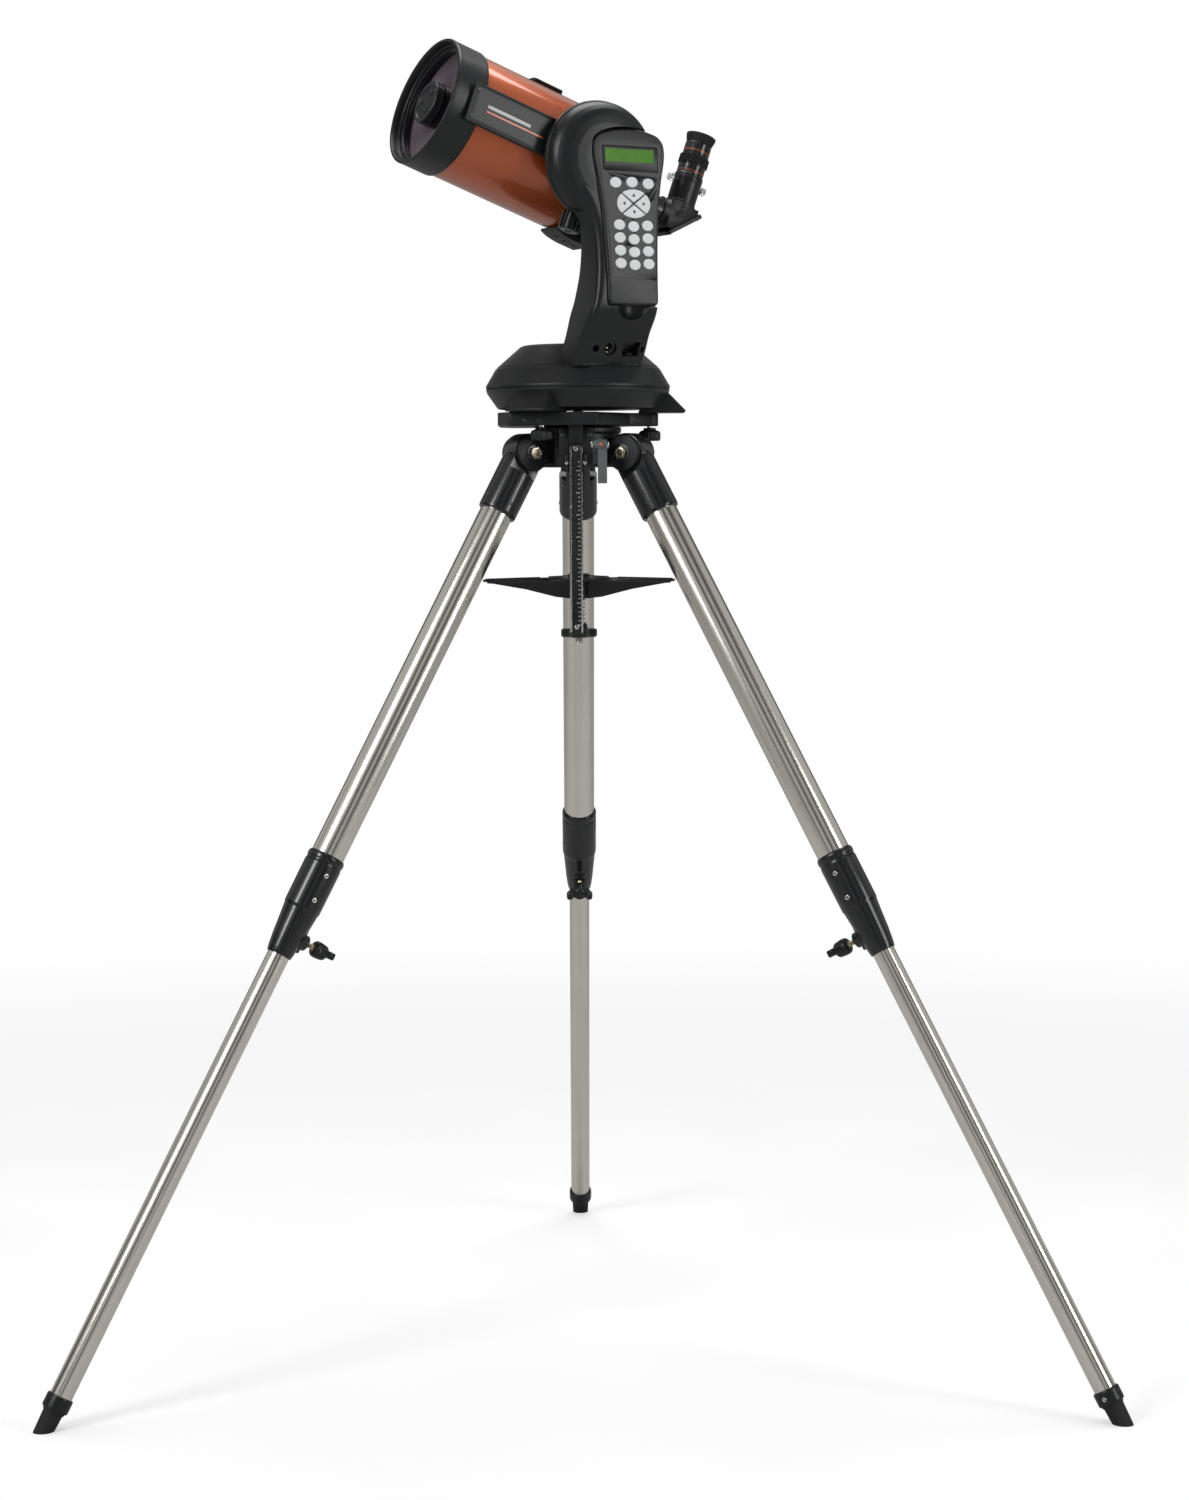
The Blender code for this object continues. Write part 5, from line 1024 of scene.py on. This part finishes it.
def make_tube():
    """Orange tube with its black lining, front cell, corrector, secondary, baffle and primary mirror."""
    shell = pipe("orange_tube_shell", TUBE_R, TUBE_R - 1.55 * MM, -34 * MM, 148.9 * MM, LINE, 0.3 * MM, 288)
    part(shell, "tube", ORANGE, "orange_paint", "optical_tube")
    lining = pipe("tube_lining", TUBE_R - 1.6 * MM, TUBE_R - 2 * MM, -20 * MM, 148 * MM, LINE, 0, 192)
    part(lining, "tube", INSIDE, "orange_paint")
    profile = millimetres([
        (70.9, 180.4), (73.7, 180.4), (74.5, 179.2), (74.5, 176.6), (74.25, 176.2), (74.25, 143.2), (73.6, 141.2),
        (72.05, 140.9), (72.05, 149.2), (69, 149.9), (64, 156.9), (64, 162.9), (68.4, 162.9), (68.4, 171.4),
        (69.6, 172.0), (69.9, 176.8),
    ])
    cell = turned("front_cell_ring", profile, LINE, True, [0.5 * MM, 0.5 * MM, 0.8 * MM, 0.2 * MM, 0.2 * MM, 1.2 * MM]
                  + [0.6 * MM] * 10, 288)
    part(cell, "tube", SATIN, "black_casting", "front_cell")
    glass = pipe("corrector_glass", 68 * MM, 20 * MM, 163.2 * MM, 168 * MM, LINE, 0.2 * MM, 192)
    part(glass, "tube", CORRECTOR, "coated_glass", "corrector_plate")
    profile = millimetres([(62.6, 168.1), (68.3, 168.1), (68.3, 170.2), (63.4, 170.2)])
    ring = turned("corrector_retainer", profile, LINE, True, 0.4 * MM, 240)
    part(ring, "tube", PLASTIC, "black_casting")
    for k in range(8):
        spot = shifted(LINE, (*polar(65.9 * MM, math.radians(45 * k + 12)), 170.2 * MM))
        cap_screw(f"retainer_screw_{k + 1}", spot, 1.25 * MM, "tube")

    profile = millimetres([
        (0, 176.9), (19.6, 176.9), (20.3, 178.1), (24.2, 178.1), (25, 177.2), (25, 168.6), (24.4, 168.3), (19.7, 168.3),
        (19.7, 162.9), (24, 162.9), (22.5, 137.2), (18, 137.2), (18, 141.2), (0, 141.2),
    ])
    cup = turned("secondary_cup", profile, LINE, fillet=0.35 * MM, steps=192)
    part(cup, "tube", SATIN, "black_casting", "secondary_housing")
    face = turned("secondary_face", millimetres([(0, 177.35), (18.6, 177.35), (19.3, 176.95), (19.3, 176.5)]), LINE,
                  fillet=0.3 * MM, steps=160)
    part(face, "tube", LABEL, "black_casting")
    rim = turned("secondary_rim", millimetres([(20.4, 178.0), (20.4, 178.35), (24.1, 178.35), (24.1, 178.0)]), LINE,
                 True, 0.15 * MM, 192)
    part(rim, "tube", DARK_METAL, "black_casting")
    for k in range(3):
        spot = shifted(LINE, (*polar(12.5 * MM, math.radians(120 * k + 25)), 177.3 * MM))
        # Flat black ring around each collimation screw: painted shade standing for the shadow inside the screw's
        # recess, which is not modelled.
        well = pipe(f"collimation_recess_shade_{k + 1}", 3.1 * MM, 2.0 * MM, 0, 0.5 * MM, spot, 0.15 * MM, 48)
        part(well, "tube", INSIDE, "black_casting")
        cap_screw(f"collimation_screw_{k + 1}", spot, 1.9 * MM, "tube")

    steps = [(14, 70), (15, 70), (18.3, -69), (18.5, -79), (16.3, -79), (16.3, -69)]
    baffle = turned("baffle_sleeve", millimetres(steps), LINE, True, 0.3 * MM, 128)
    part(baffle, "tube", INSIDE, "black_casting", "baffle_tube")
    for k, (x, radius) in enumerate(((44, 15.6), (12, 16.3), (-16, 17)), 1):
        lip = pipe(f"baffle_lip_{k}", (radius + 1.4) * MM, (radius - 0.3) * MM, x * MM, (x + 1.2) * MM, LINE, 0.3 * MM)
        part(lip, "tube", INSIDE, "black_casting")
    curve = [(19, -42.5)] + [(r, -42.5 + 3.5 * ((r - 19) / 47) ** 2) for r in (26, 33, 40, 47, 54, 60, 65.4)]
    curve += [(66, -39.5), (66, -48.4), (65.4, -49), (19, -49)]
    part(turned("primary_mirror_disc", millimetres(curve), LINE, True, 0, 192), "mirror_body", MIRROR, "mirror",
         "primary_mirror")


def make_rear_cell():
    """Rear casting with its mounting foot, focus knob and the threaded visual back."""
    profile = millimetres([
        (69.8, -27), (74.0, -27), (74.5, -27.8), (74.5, -60), (71.2, -68.2), (69.4, -68.8), (60, -80), (52, -85),
        (50.6, -85), (49.4, -83.8), (33.5, -86.6), (32.6, -88), (17, -88), (17, -79.3), (47, -79.3), (58, -74),
        (68, -62), (69.8, -56), (69.8, -34.3),
    ])
    cell = turned("rear_casting", profile, LINE, True, 0.9 * MM, 240)
    side = soften(millimetres([(-62, -80), (-36, -80), (-22, -78), (-14, -74.8), (-14, -72.2), (-62, -72.2)]),
                  [1 * MM, 6 * MM, 5 * MM, 1.2 * MM, 0, 0], True, 5)
    foot = settle(slab("foot", side, -20 * MM, 20 * MM, shifted(TUBE, rotation=(math.pi / 2, 0, 0)), 1.6 * MM, 4))
    weld(cell, foot)
    bed = pipe("bed", 72.1 * MM, 69.9 * MM, -34.3 * MM, 10 * MM, LINE, 0, 192)
    socket = rod("socket", 4.4 * MM, -100 * MM, -60 * MM, shifted(LINE, (-31 * MM, -31 * MM, 0)))
    wells = [rod("well", 2.0 * MM, -82 * MM, -77.5 * MM, shifted(TUBE, (x * MM, 0, 0)), steps=40) for x in (-50, -38, -26)]
    carve(cell, [bed, socket] + wells)
    rounding(cell, 0.35 * MM, 2, 40)
    part(cell, "tube", CASTING, "black_casting", "rear_cell")
    for k in range(6):
        spot = shifted(LINE, (*polar(74.3 * MM, math.radians(60 * k + 30)), -44 * MM))
        cap_screw(f"rear_screw_{k + 1}", shifted(spot, rotation=(0, math.pi / 2, math.radians(60 * k + 30))), 1.9 * MM, "tube")
    for k in range(3):
        spot = shifted(LINE, (*polar(42 * MM, math.radians(120 * k + 75)), -85.1 * MM), (math.pi, 0, 0))
        cap_screw(f"cover_screw_{k + 1}", spot, 2.2 * MM, "tube")

    knob_place = shifted(LINE, (-31 * MM, -31 * MM, 0))
    profile = millimetres([
        (0, -62), (4, -62), (4, -90.6), (12.2, -90.6), (13, -91.8), (13, -93.6), (13, -95), (12.9, -99), (12.8, -103),
        (12.7, -107), (12.6, -110.6), (12.2, -112.4), (11, -113.5), (7.5, -113.5), (6.9, -112.6), (0, -112.4),
    ])
    knob = turned("focus_knob_rubber", profile, knob_place, steps=288, wave=ribs(24, 0.9 * MM, -112 * MM, -92.5 * MM))
    part(knob, "focus_knob_body", RUBBER, "rubber", "focus_knob")

    profile = millimetres([
        (16.3, -88.35), (24.6, -88.35), (25.2, -90), (25.2, -91.4), (26, -92.2), (26, -92.6), (26, -97), (26, -101),
        (26, -101.4), (25.2, -102.2), (24.4, -102.6), (24.4, -108.8), (23.6, -110), (17.4, -110), (16.3, -109),
    ])
    back = turned("visual_back_ring", profile, LINE, True, 0, 320, ribs(64, 0.5 * MM, -101.3 * MM, -92.3 * MM))
    part(back, "tube", LABEL, "black_casting", "visual_back")
    for k in range(2):
        turn = math.radians(120 * k + 60)
        spot = shifted(LINE, (0, 0, -105.8 * MM), (0, math.pi / 2, turn))
        profile = millimetres([(0, 34), (3.2, 34), (3.8, 33.2), (3.8, 28.6), (3.2, 28), (1.6, 28), (1.6, 22), (0, 22)])
        screw = turned(f"visual_back_screw_{k + 1}", profile, spot, fillet=0.3 * MM, steps=96)
        part(screw, "tube", CHROME, "polished_steel")


def make_rail():
    """Dovetail rail along the tube with raised edges, a plain label, its end plate and screws; finder shoe."""
    upright = shifted(TUBE, rotation=(0, -math.pi / 2, 0))
    section = millimetres([
        (-21.7, 72.3), (21.7, 72.3), (18, 75.7), (22, 79), (22, 79.7), (21.7, 80), (20.2, 80), (19.5, 79.1),
        (-19.5, 79.1), (-20.2, 80), (-21.7, 80), (-22, 79.7), (-22, 79), (-18, 75.7),
    ])
    rail = slab("rail_bar", section, -158.6 * MM, 60 * MM, upright)
    beds = [
        rod("bed", 72.1 * MM, -100 * MM, 143.9 * MM, LINE, steps=192),
        rod("bed", 74.8 * MM, 140.6 * MM, 200 * MM, LINE, steps=192),
        rod("bed", 74.8 * MM, -100 * MM, -26.7 * MM, LINE, steps=192),
    ]
    carve(rail, beds)
    rounding(rail, 0.25 * MM, 2, 30)
    part(rail, "tube", LABEL, "black_casting", "dovetail_rail")
    end = slab("rail_end_plate", soften(millimetres([(-22, 76.6), (22, 76.6), (22, 80.1), (-22, 80.1)]), 0.6 * MM, True),
               -160 * MM, -157.4 * MM, upright, 0.5 * MM)
    part(end, "tube", CASTING, "black_casting")
    face = shifted(TUBE, (0, 79.1 * MM, 0), (-math.pi / 2, 0, 0))
    panel = slab("rail_label", soften(millimetres([(58, -17.6), (153, -17.6), (153, 17.6), (58, 17.6)]), 1.2 * MM, True),
                 0.02 * MM, 0.22 * MM, face)
    part(panel, "tube", PLASTIC, "black_casting")
    for name, low, high, ink in (("rail_stripe_pale", (82, -3.4), (138, 0.2), TICKS), ("rail_stripe_orange", (64, 3.4), (138, 5.2), PRINT)):
        corners = [(low[0], low[1]), (high[0], low[1]), (high[0], high[1]), (low[0], high[1])]
        stripe = slab(name, soften(millimetres(corners), 0.5 * MM, True), 0.2 * MM, 0.26 * MM, face)
        part(stripe, "tube", ink, "black_casting")
    for k, (x, z) in enumerate(((154.6, -15), (154.6, 15), (-50, -12), (-50, 12)), 1):
        cap_screw(f"rail_screw_{k}", shifted(face, (x * MM, z * MM, 0)), 1.7 * MM, "tube")

    shoe_frame = shifted(TUBE, rotation=(math.pi / 2, 0, math.pi / 2))
    plan = soften(millimetres([(25, -11.5), (65, -11.5), (65, 11.5), (25, 11.5)]), 5 * MM, True, 6)
    shoe = slab("finder_shoe", plan, 70 * MM, 76.8 * MM, TUBE)
    cuts = [rod("bed", 72.1 * MM, 0, 90 * MM, LINE, steps=192)]
    for side in (-1, 1):
        groove = [(side * y, z) for y, z in ((9, 73.3), (11.5, 75.6), (14, 75.6), (14, 69), (11.1, 69))]
        cuts.append(slab("groove", millimetres(groove[::side]), 15 * MM, 75 * MM, shoe_frame))
    carve(shoe, cuts)
    rounding(shoe, 0.9 * MM, 3, 30)
    part(shoe, "tube", SATIN, "black_casting", "finder_foot")
    for k, x in enumerate((33, 57), 1):
        cap_screw(f"finder_shoe_screw_{k}", shifted(TUBE, (x * MM, 0, 76.7 * MM)), 2 * MM, "tube")


def make_altitude_hub():
    """Clamp between the arm's head and the rail, with its big ribbed knob."""
    profile = millimetres([
        (0, 98), (8, 98), (8, 91.6), (18, 91.6), (18, 86), (44.5, 86), (45.2, 85.2), (46.4, 85.2), (48, 83.8),
        (48, 80.5), (0, 80.5),
    ])
    hub = turned("altitude_clamp", profile, SIDE, fillet=0.5 * MM, steps=200)
    pieces = [
        block("jaw", (-24 * MM, 76.2 * MM, -31 * MM), (24 * MM, 83 * MM, -22.6 * MM), TUBE, 1.2 * MM),
        block("jaw", (-24 * MM, 76.2 * MM, 22.6 * MM), (24 * MM, 83 * MM, 31 * MM), TUBE, 1.2 * MM),
        block("lug", (-13 * MM, 67.5 * MM, -64 * MM), (5 * MM, 82 * MM, -27 * MM), TUBE, 2.2 * MM),
    ]
    weld(hub, *[settle(piece) for piece in pieces])
    spot = shifted(TUBE, (-4 * MM, 72.6 * MM, 0))
    carve(hub, [rod("hole", 3.6 * MM, -80 * MM, -32 * MM, spot)])
    rounding(hub, 0.4 * MM, 2, 40)
    part(hub, "tube", CASTING, "black_casting", "altitude_hub")
    for k, x in enumerate((-16, 16), 1):
        bolt = shifted(TUBE, (x * MM, 80 * MM, -31 * MM), (math.pi, 0, 0))
        cap_screw(f"jaw_screw_{k}", bolt, 2 * MM, "tube")

    rise = [-65, -65.6, -66.4, -68, -72, -76, -80, -84, -85.6, -86.3]
    grip = [11.6, 12.2, 12.6, 12.7, 12.7, 12.7, 12.7, 12.7, 12.4, 11.8]
    profile = [(0, -65)] + list(zip(grip, rise)) + [(10.2, -86.7), (9.7, -86.2), (0, -86.2)]
    knob = turned("clamp_knob_ribbed", millimetres(profile), spot, steps=336,
                  wave=ribs(14, 2.3 * MM, -86.2 * MM, -65.5 * MM, 0.5))
    part(knob, "clamp_knob_body", PLASTIC, "black_casting", "dovetail_clamp_knob")
    ring = turned("clamp_knob_ring", millimetres([(4.2, -86.2), (9.6, -86.2), (9.6, -87.2), (8.6, -87.5), (5.4, -87.5), (4.2, -87)]),
                  spot, True, 0.25 * MM, 128)
    part(ring, "clamp_knob_body", GREY_METAL, "black_casting")
    screw = rod("clamp_knob_screw", 3 * MM, -67 * MM, -34 * MM, spot, 0.3 * MM)
    part(screw, "clamp_knob_body", STEEL, "polished_steel")


def make_diagonal():
    """Star diagonal: prism housing with its sloping cover, nose tube, eyepiece holder and thumbscrews."""
    low = (-17.5 * MM, -17.5 * MM, -17.5 * MM)
    body = block("diagonal_housing", low, (19 * MM, 17.5 * MM, 15.5 * MM), EYE)
    slope = shifted(EYE, (-4 * MM, 0, -4 * MM), (0, math.radians(45), 0))
    carve(body, [block("wedge", (-60 * MM, -40 * MM, -60 * MM), (60 * MM, 40 * MM, 0), slope)])
    rounding(body, 1.0 * MM, 3, 25)
    settle(body)
    collar = rod("collar", 18 * MM, 10 * MM, 27 * MM, shifted(EYE, rotation=ALONG), 1 * MM, 128)
    foot = rod("foot", 18.2 * MM, 12 * MM, 18.4 * MM, EYE, 0.8 * MM, 128)
    weld(body, collar, foot)
    carve(body, [
        rod("path", 13.5 * MM, -4 * MM, 60 * MM, shifted(EYE, rotation=ALONG), steps=96),
        rod("throat", 13 * MM, -2 * MM, 30 * MM, EYE, steps=96),
    ])
    part(body, "diagonal_body", CASTING, "black_casting", "star_diagonal")
    nose = pipe("diagonal_nose_tube", NOSE_R, 14 * MM, 20 * MM, -(DIAGONAL_X - REAR_FACE) - 4 * MM,
                shifted(EYE, rotation=ALONG), 0.5 * MM, 160)
    part(nose, "diagonal_body", GLOSS, "gloss_black")
    plate = shifted(EYE, (-5 * MM, 0, -5 * MM), (0, math.radians(45), 0))
    outline = [(-26, -17.2), (26, -17.2), (26, 17.2), (-26, 17.2)]
    cover = slab("diagonal_cover", soften(millimetres(outline), 6 * MM, True, 6), -3.4 * MM, 1.4 * MM, plate, 0.9 * MM)
    part(cover, "diagonal_body", CASTING, "black_casting")
    for k, (x, y) in enumerate(((-20.5, -11.5), (-20.5, 11.5), (20.5, -11.5), (20.5, 11.5)), 1):
        under = shifted(plate, (x * MM, y * MM, -3.4 * MM), (math.pi, 0, 0))
        cap_screw(f"cover_bolt_{k}", under, 1.7 * MM, "diagonal_body", CHROME, "polished_steel")

    profile = millimetres([
        (NOSE_R / MM + 0.25, 51), (16.9, 51), (17.3, 50.5), (17.3, 46.2), (17.1, 45.8), (16.95, 45.4), (16.95, 20.6),
        (17.4, 20), (17.4, 18.2), (NOSE_R / MM + 0.25, 18.2),
    ])
    holder = turned("eyepiece_holder_tube", profile, EYE, True, 0.2 * MM, 192)
    part(holder, "diagonal_body", SATIN, "black_casting")
    for k, side in enumerate((0, math.pi), 1):
        spot = shifted(EYE, (0, 0, 43.6 * MM), (0, math.pi / 2, side + math.radians(4)))
        profile = millimetres([
            (0, 26.6), (4.0, 26.6), (4.7, 26), (4.7, 25.6), (4.7, 21.6), (4.7, 21.2), (3.9, 20.2), (2.2, 20.0),
            (1.7, 19.4), (1.7, 16.6), (0, 16.6),
        ])
        screw = turned(f"thumbscrew_{k}", profile, spot, steps=160, wave=ribs(24, 0.4 * MM, 21.1 * MM, 26.1 * MM))
        part(screw, "diagonal_body", CHROME, "polished_steel")


def make_eyepiece():
    """Eyepiece barrel with ribbed grip, thin rings, coated lens and flared eyecup."""
    sleeve = pipe("eyepiece_sleeve", NOSE_R, 14.5 * MM, 24 * MM, 51.6 * MM, EYE, 0.3 * MM, 160)
    part(sleeve, "eyepiece_body", CHROME, "polished_steel", "eyepiece")
    profile = millimetres([
        (14.5, 51.2), (16.6, 51.2), (17.1, 51.8), (17.1, 53.2), (16.4, 53.8), (16.1, 54.4), (16.1, 64.8), (16.6, 65.8),
        (16.6, 66.6), (16.0, 67), (16.0, 77), (16.2, 77.6), (15.9, 78.6), (15.7, 79.2), (15.6, 91.6), (15.0, 92.9),
        (10.5, 92.9), (10.5, 90),
    ])
    barrel = turned("eyepiece_barrel", profile, EYE, True, 0.3 * MM, 192)
    part(barrel, "eyepiece_body", GLOSS, "gloss_black")
    heights = [66.9, 67.3, 69.0, 69.5, 69.9, 71.6, 72.1, 72.5, 74.2, 74.7, 75.1, 76.6, 77.0]
    radii = [17.0, 17.8, 17.8, 17.2, 17.8, 17.8, 17.2, 17.8, 17.8, 17.2, 17.8, 17.8, 17.0]
    profile = [(16.05, 66.9)] + list(zip(radii, heights)) + [(16.05, 77.0)]
    grip = turned("eyepiece_grip", millimetres(profile), EYE, True, 0, 288, ribs(36, 0.7 * MM, 67.2 * MM, 76.7 * MM))
    part(grip, "eyepiece_body", RUBBER, "rubber")
    for k, (z, radius) in enumerate(((56.6, 16.14), (57.9, 16.14), (82.0, 15.74), (83.3, 15.74)), 1):
        ring = pipe(f"eyepiece_ring_{k}", radius * MM, (radius - 0.3) * MM, (z - 0.17) * MM, (z + 0.17) * MM, EYE, 0)
        part(ring, "eyepiece_body", PRINT, "gloss_black")
    profile = millimetres([
        (16.9, 103.5), (17.5, 103.5), (17.8, 103.0), (17.2, 100), (16.2, 96.4), (15.5, 94.2), (15.4, 93.2), (12, 93.2),
        (12, 94.6), (14.2, 95.2), (15.2, 98), (16.2, 102),
    ])
    cup = turned("eyecup_rubber", profile, EYE, True, 0.35 * MM, 192)
    part(cup, "eyepiece_body", RUBBER, "rubber", "eyecup")
    profile = [(0, 92.4)] + [(r, 92.4 - 2.2 * (r / 11) ** 2) for r in (2, 4, 6, 8, 10, 11)] + [(11, 89.6), (0, 89.6)]
    lens = turned("eye_lens", millimetres(profile), EYE, steps=96)
    part(lens, "eyepiece_body", LENS, "coated_glass")
    seat = pipe("eye_lens_seat", 12.4 * MM, 10.6 * MM, 92.6 * MM, 94 * MM, EYE, 0.3 * MM)
    part(seat, "eyepiece_body", DARK_METAL, "gloss_black")


make_tube()
make_rear_cell()
make_rail()
make_altitude_hub()
make_diagonal()
make_eyepiece()




# Room, light and camera

def soft_light(name, place, target, size, power, colour=(1, 1, 1)):
    lamp = bpy.data.lights.new(name, "AREA")
    lamp.shape = "RECTANGLE"
    lamp.size, lamp.size_y = size
    lamp.energy = power
    lamp.color = colour
    made = bpy.data.objects.new(name, lamp)
    bpy.context.scene.collection.objects.link(made)
    made.location = place
    made.rotation_euler = (Vector(target) - Vector(place)).to_track_quat("-Z", "Y").to_euler()
    return made


def white_floor():
    """Pale floor that takes soft shadows near the tripod and runs into the backdrop further out."""
    made = Nodes("pale_floor")
    tree = made.tree
    vector = made.place()
    mottle = made.noise(vector, 3.0, 2.0)
    made.link(made.ramp(mottle, [(0.2, (0.50, 0.50, 0.50)), (0.8, (0.54, 0.54, 0.54))]), made.shader.inputs["Base Color"])
    made.set(Roughness=0.85, Specular_IOR_Level=0.1)
    distance = made.add("ShaderNodeVectorMath", operation="LENGTH")
    made.link(vector, distance.inputs[0])
    fade = made.add("ShaderNodeMapRange", interpolation_type="SMOOTHSTEP")
    fade.inputs["From Min"].default_value = 0.9
    fade.inputs["From Max"].default_value = 3.4
    made.link(distance.outputs["Value"], fade.inputs["Value"])
    ray = made.add("ShaderNodeLightPath")
    glow = made.add("ShaderNodeEmission")
    made.link(made.span(ray.outputs["Is Camera Ray"], 0.0, 0.52), glow.inputs["Strength"])
    near = made.add("ShaderNodeAddShader")
    made.link(made.shader.outputs["BSDF"], near.inputs[0])
    made.link(glow.outputs["Emission"], near.inputs[1])
    far = made.add("ShaderNodeEmission")
    made.link(made.span(ray.outputs["Is Camera Ray"], 0.35, 1.0), far.inputs["Strength"])
    mix = made.add("ShaderNodeMixShader")
    made.link(fade.outputs["Result"], mix.inputs["Fac"])
    made.link(near.outputs["Shader"], mix.inputs[1])
    made.link(far.outputs["Emission"], mix.inputs[2])
    made.link(mix.outputs["Shader"], tree.nodes["Material Output"].inputs["Surface"])
    return made.material


def studio_world():
    """White to the camera; soft light and dark bands to everything that mirrors it."""
    world = bpy.data.worlds.new("studio")
    bpy.context.scene.world = world
    world.use_nodes = True
    tree = world.node_tree
    seen = tree.nodes["Background"]
    seen.inputs["Color"].default_value = (1, 1, 1, 1)
    around = tree.nodes.new("ShaderNodeBackground")
    around.inputs["Strength"].default_value = 0.36
    spot = tree.nodes.new("ShaderNodeTexCoord")
    bands = tree.nodes.new("ShaderNodeTexWave")
    bands.bands_direction = "X"
    bands.inputs["Scale"].default_value = 0.6
    bands.inputs["Distortion"].default_value = 1.0
    bands.inputs["Detail Scale"].default_value = 0.6
    tree.links.new(spot.outputs["Generated"], bands.inputs["Vector"])
    tone = tree.nodes.new("ShaderNodeValToRGB")
    tone.color_ramp.elements[0].position = 0.25
    tone.color_ramp.elements[0].color = (0.16, 0.155, 0.15, 1)
    tone.color_ramp.elements[1].position = 0.8
    tone.color_ramp.elements[1].color = (1.35, 1.35, 1.35, 1)
    tree.links.new(bands.outputs["Fac"], tone.inputs["Fac"])
    tree.links.new(tone.outputs["Color"], around.inputs["Color"])
    ray = tree.nodes.new("ShaderNodeLightPath")
    mix = tree.nodes.new("ShaderNodeMixShader")
    tree.links.new(ray.outputs["Is Camera Ray"], mix.inputs["Fac"])
    tree.links.new(around.outputs["Background"], mix.inputs[1])
    tree.links.new(seen.outputs["Background"], mix.inputs[2])
    tree.links.new(mix.outputs["Shader"], tree.nodes["World Output"].inputs["Surface"])


def make_stage():
    """Pale floor, pale surroundings and three soft lights."""
    floor = bpy.data.meshes.new("floor")
    floor.from_pydata([(-30, -30, 0), (30, -30, 0), (30, 30, 0), (-30, 30, 0)], [], [(0, 1, 2, 3)])
    ground = put("floor", floor, Matrix.Translation((0, 0, -0.0002)))
    ground.data.materials.append(white_floor())
    studio_world()
    soft_light("key", (-2.6, -3.0, 2.8), (0, -0.2, 1.0), (1.0, 2.2), 85)
    soft_light("fill", (3.2, -2.2, 1.6), (0, -0.2, 0.9), (0.7, 2.4), 42)
    soft_light("top", (0.2, 0.4, 3.6), (0, -0.2, 1.0), (2.2, 1.6), 60)
    bpy.context.scene.view_settings.view_transform = "Standard"


def make_camera():
    """Camera in front of the hand controller's side, a little below the tube's height."""
    pitch, yaw, roll = 0.0831, -0.0079, -0.0046
    ahead = Vector((-math.sin(yaw) * math.cos(pitch), math.cos(yaw) * math.cos(pitch), -math.sin(pitch)))
    right = Vector((math.cos(yaw), math.sin(yaw), 0))
    up = right.cross(ahead)
    across = right * math.cos(roll) + up * math.sin(roll)
    above = up * math.cos(roll) - right * math.sin(roll)
    lens = bpy.data.cameras.new("camera")
    lens.sensor_fit = "VERTICAL"
    lens.sensor_height = 36
    lens.lens = 36 * 3087.9 / 1500
    lens.clip_end = 200
    eye = bpy.data.objects.new("camera", lens)
    bpy.context.scene.collection.objects.link(eye)
    turn = Matrix((across, above, -ahead)).transposed()
    eye.matrix_world = Matrix.Translation((-0.0111, -3.5996 + AXIS_Y, 1.0063)) @ turn.to_4x4()
    bpy.context.scene.camera = eye


make_stage()
make_camera()
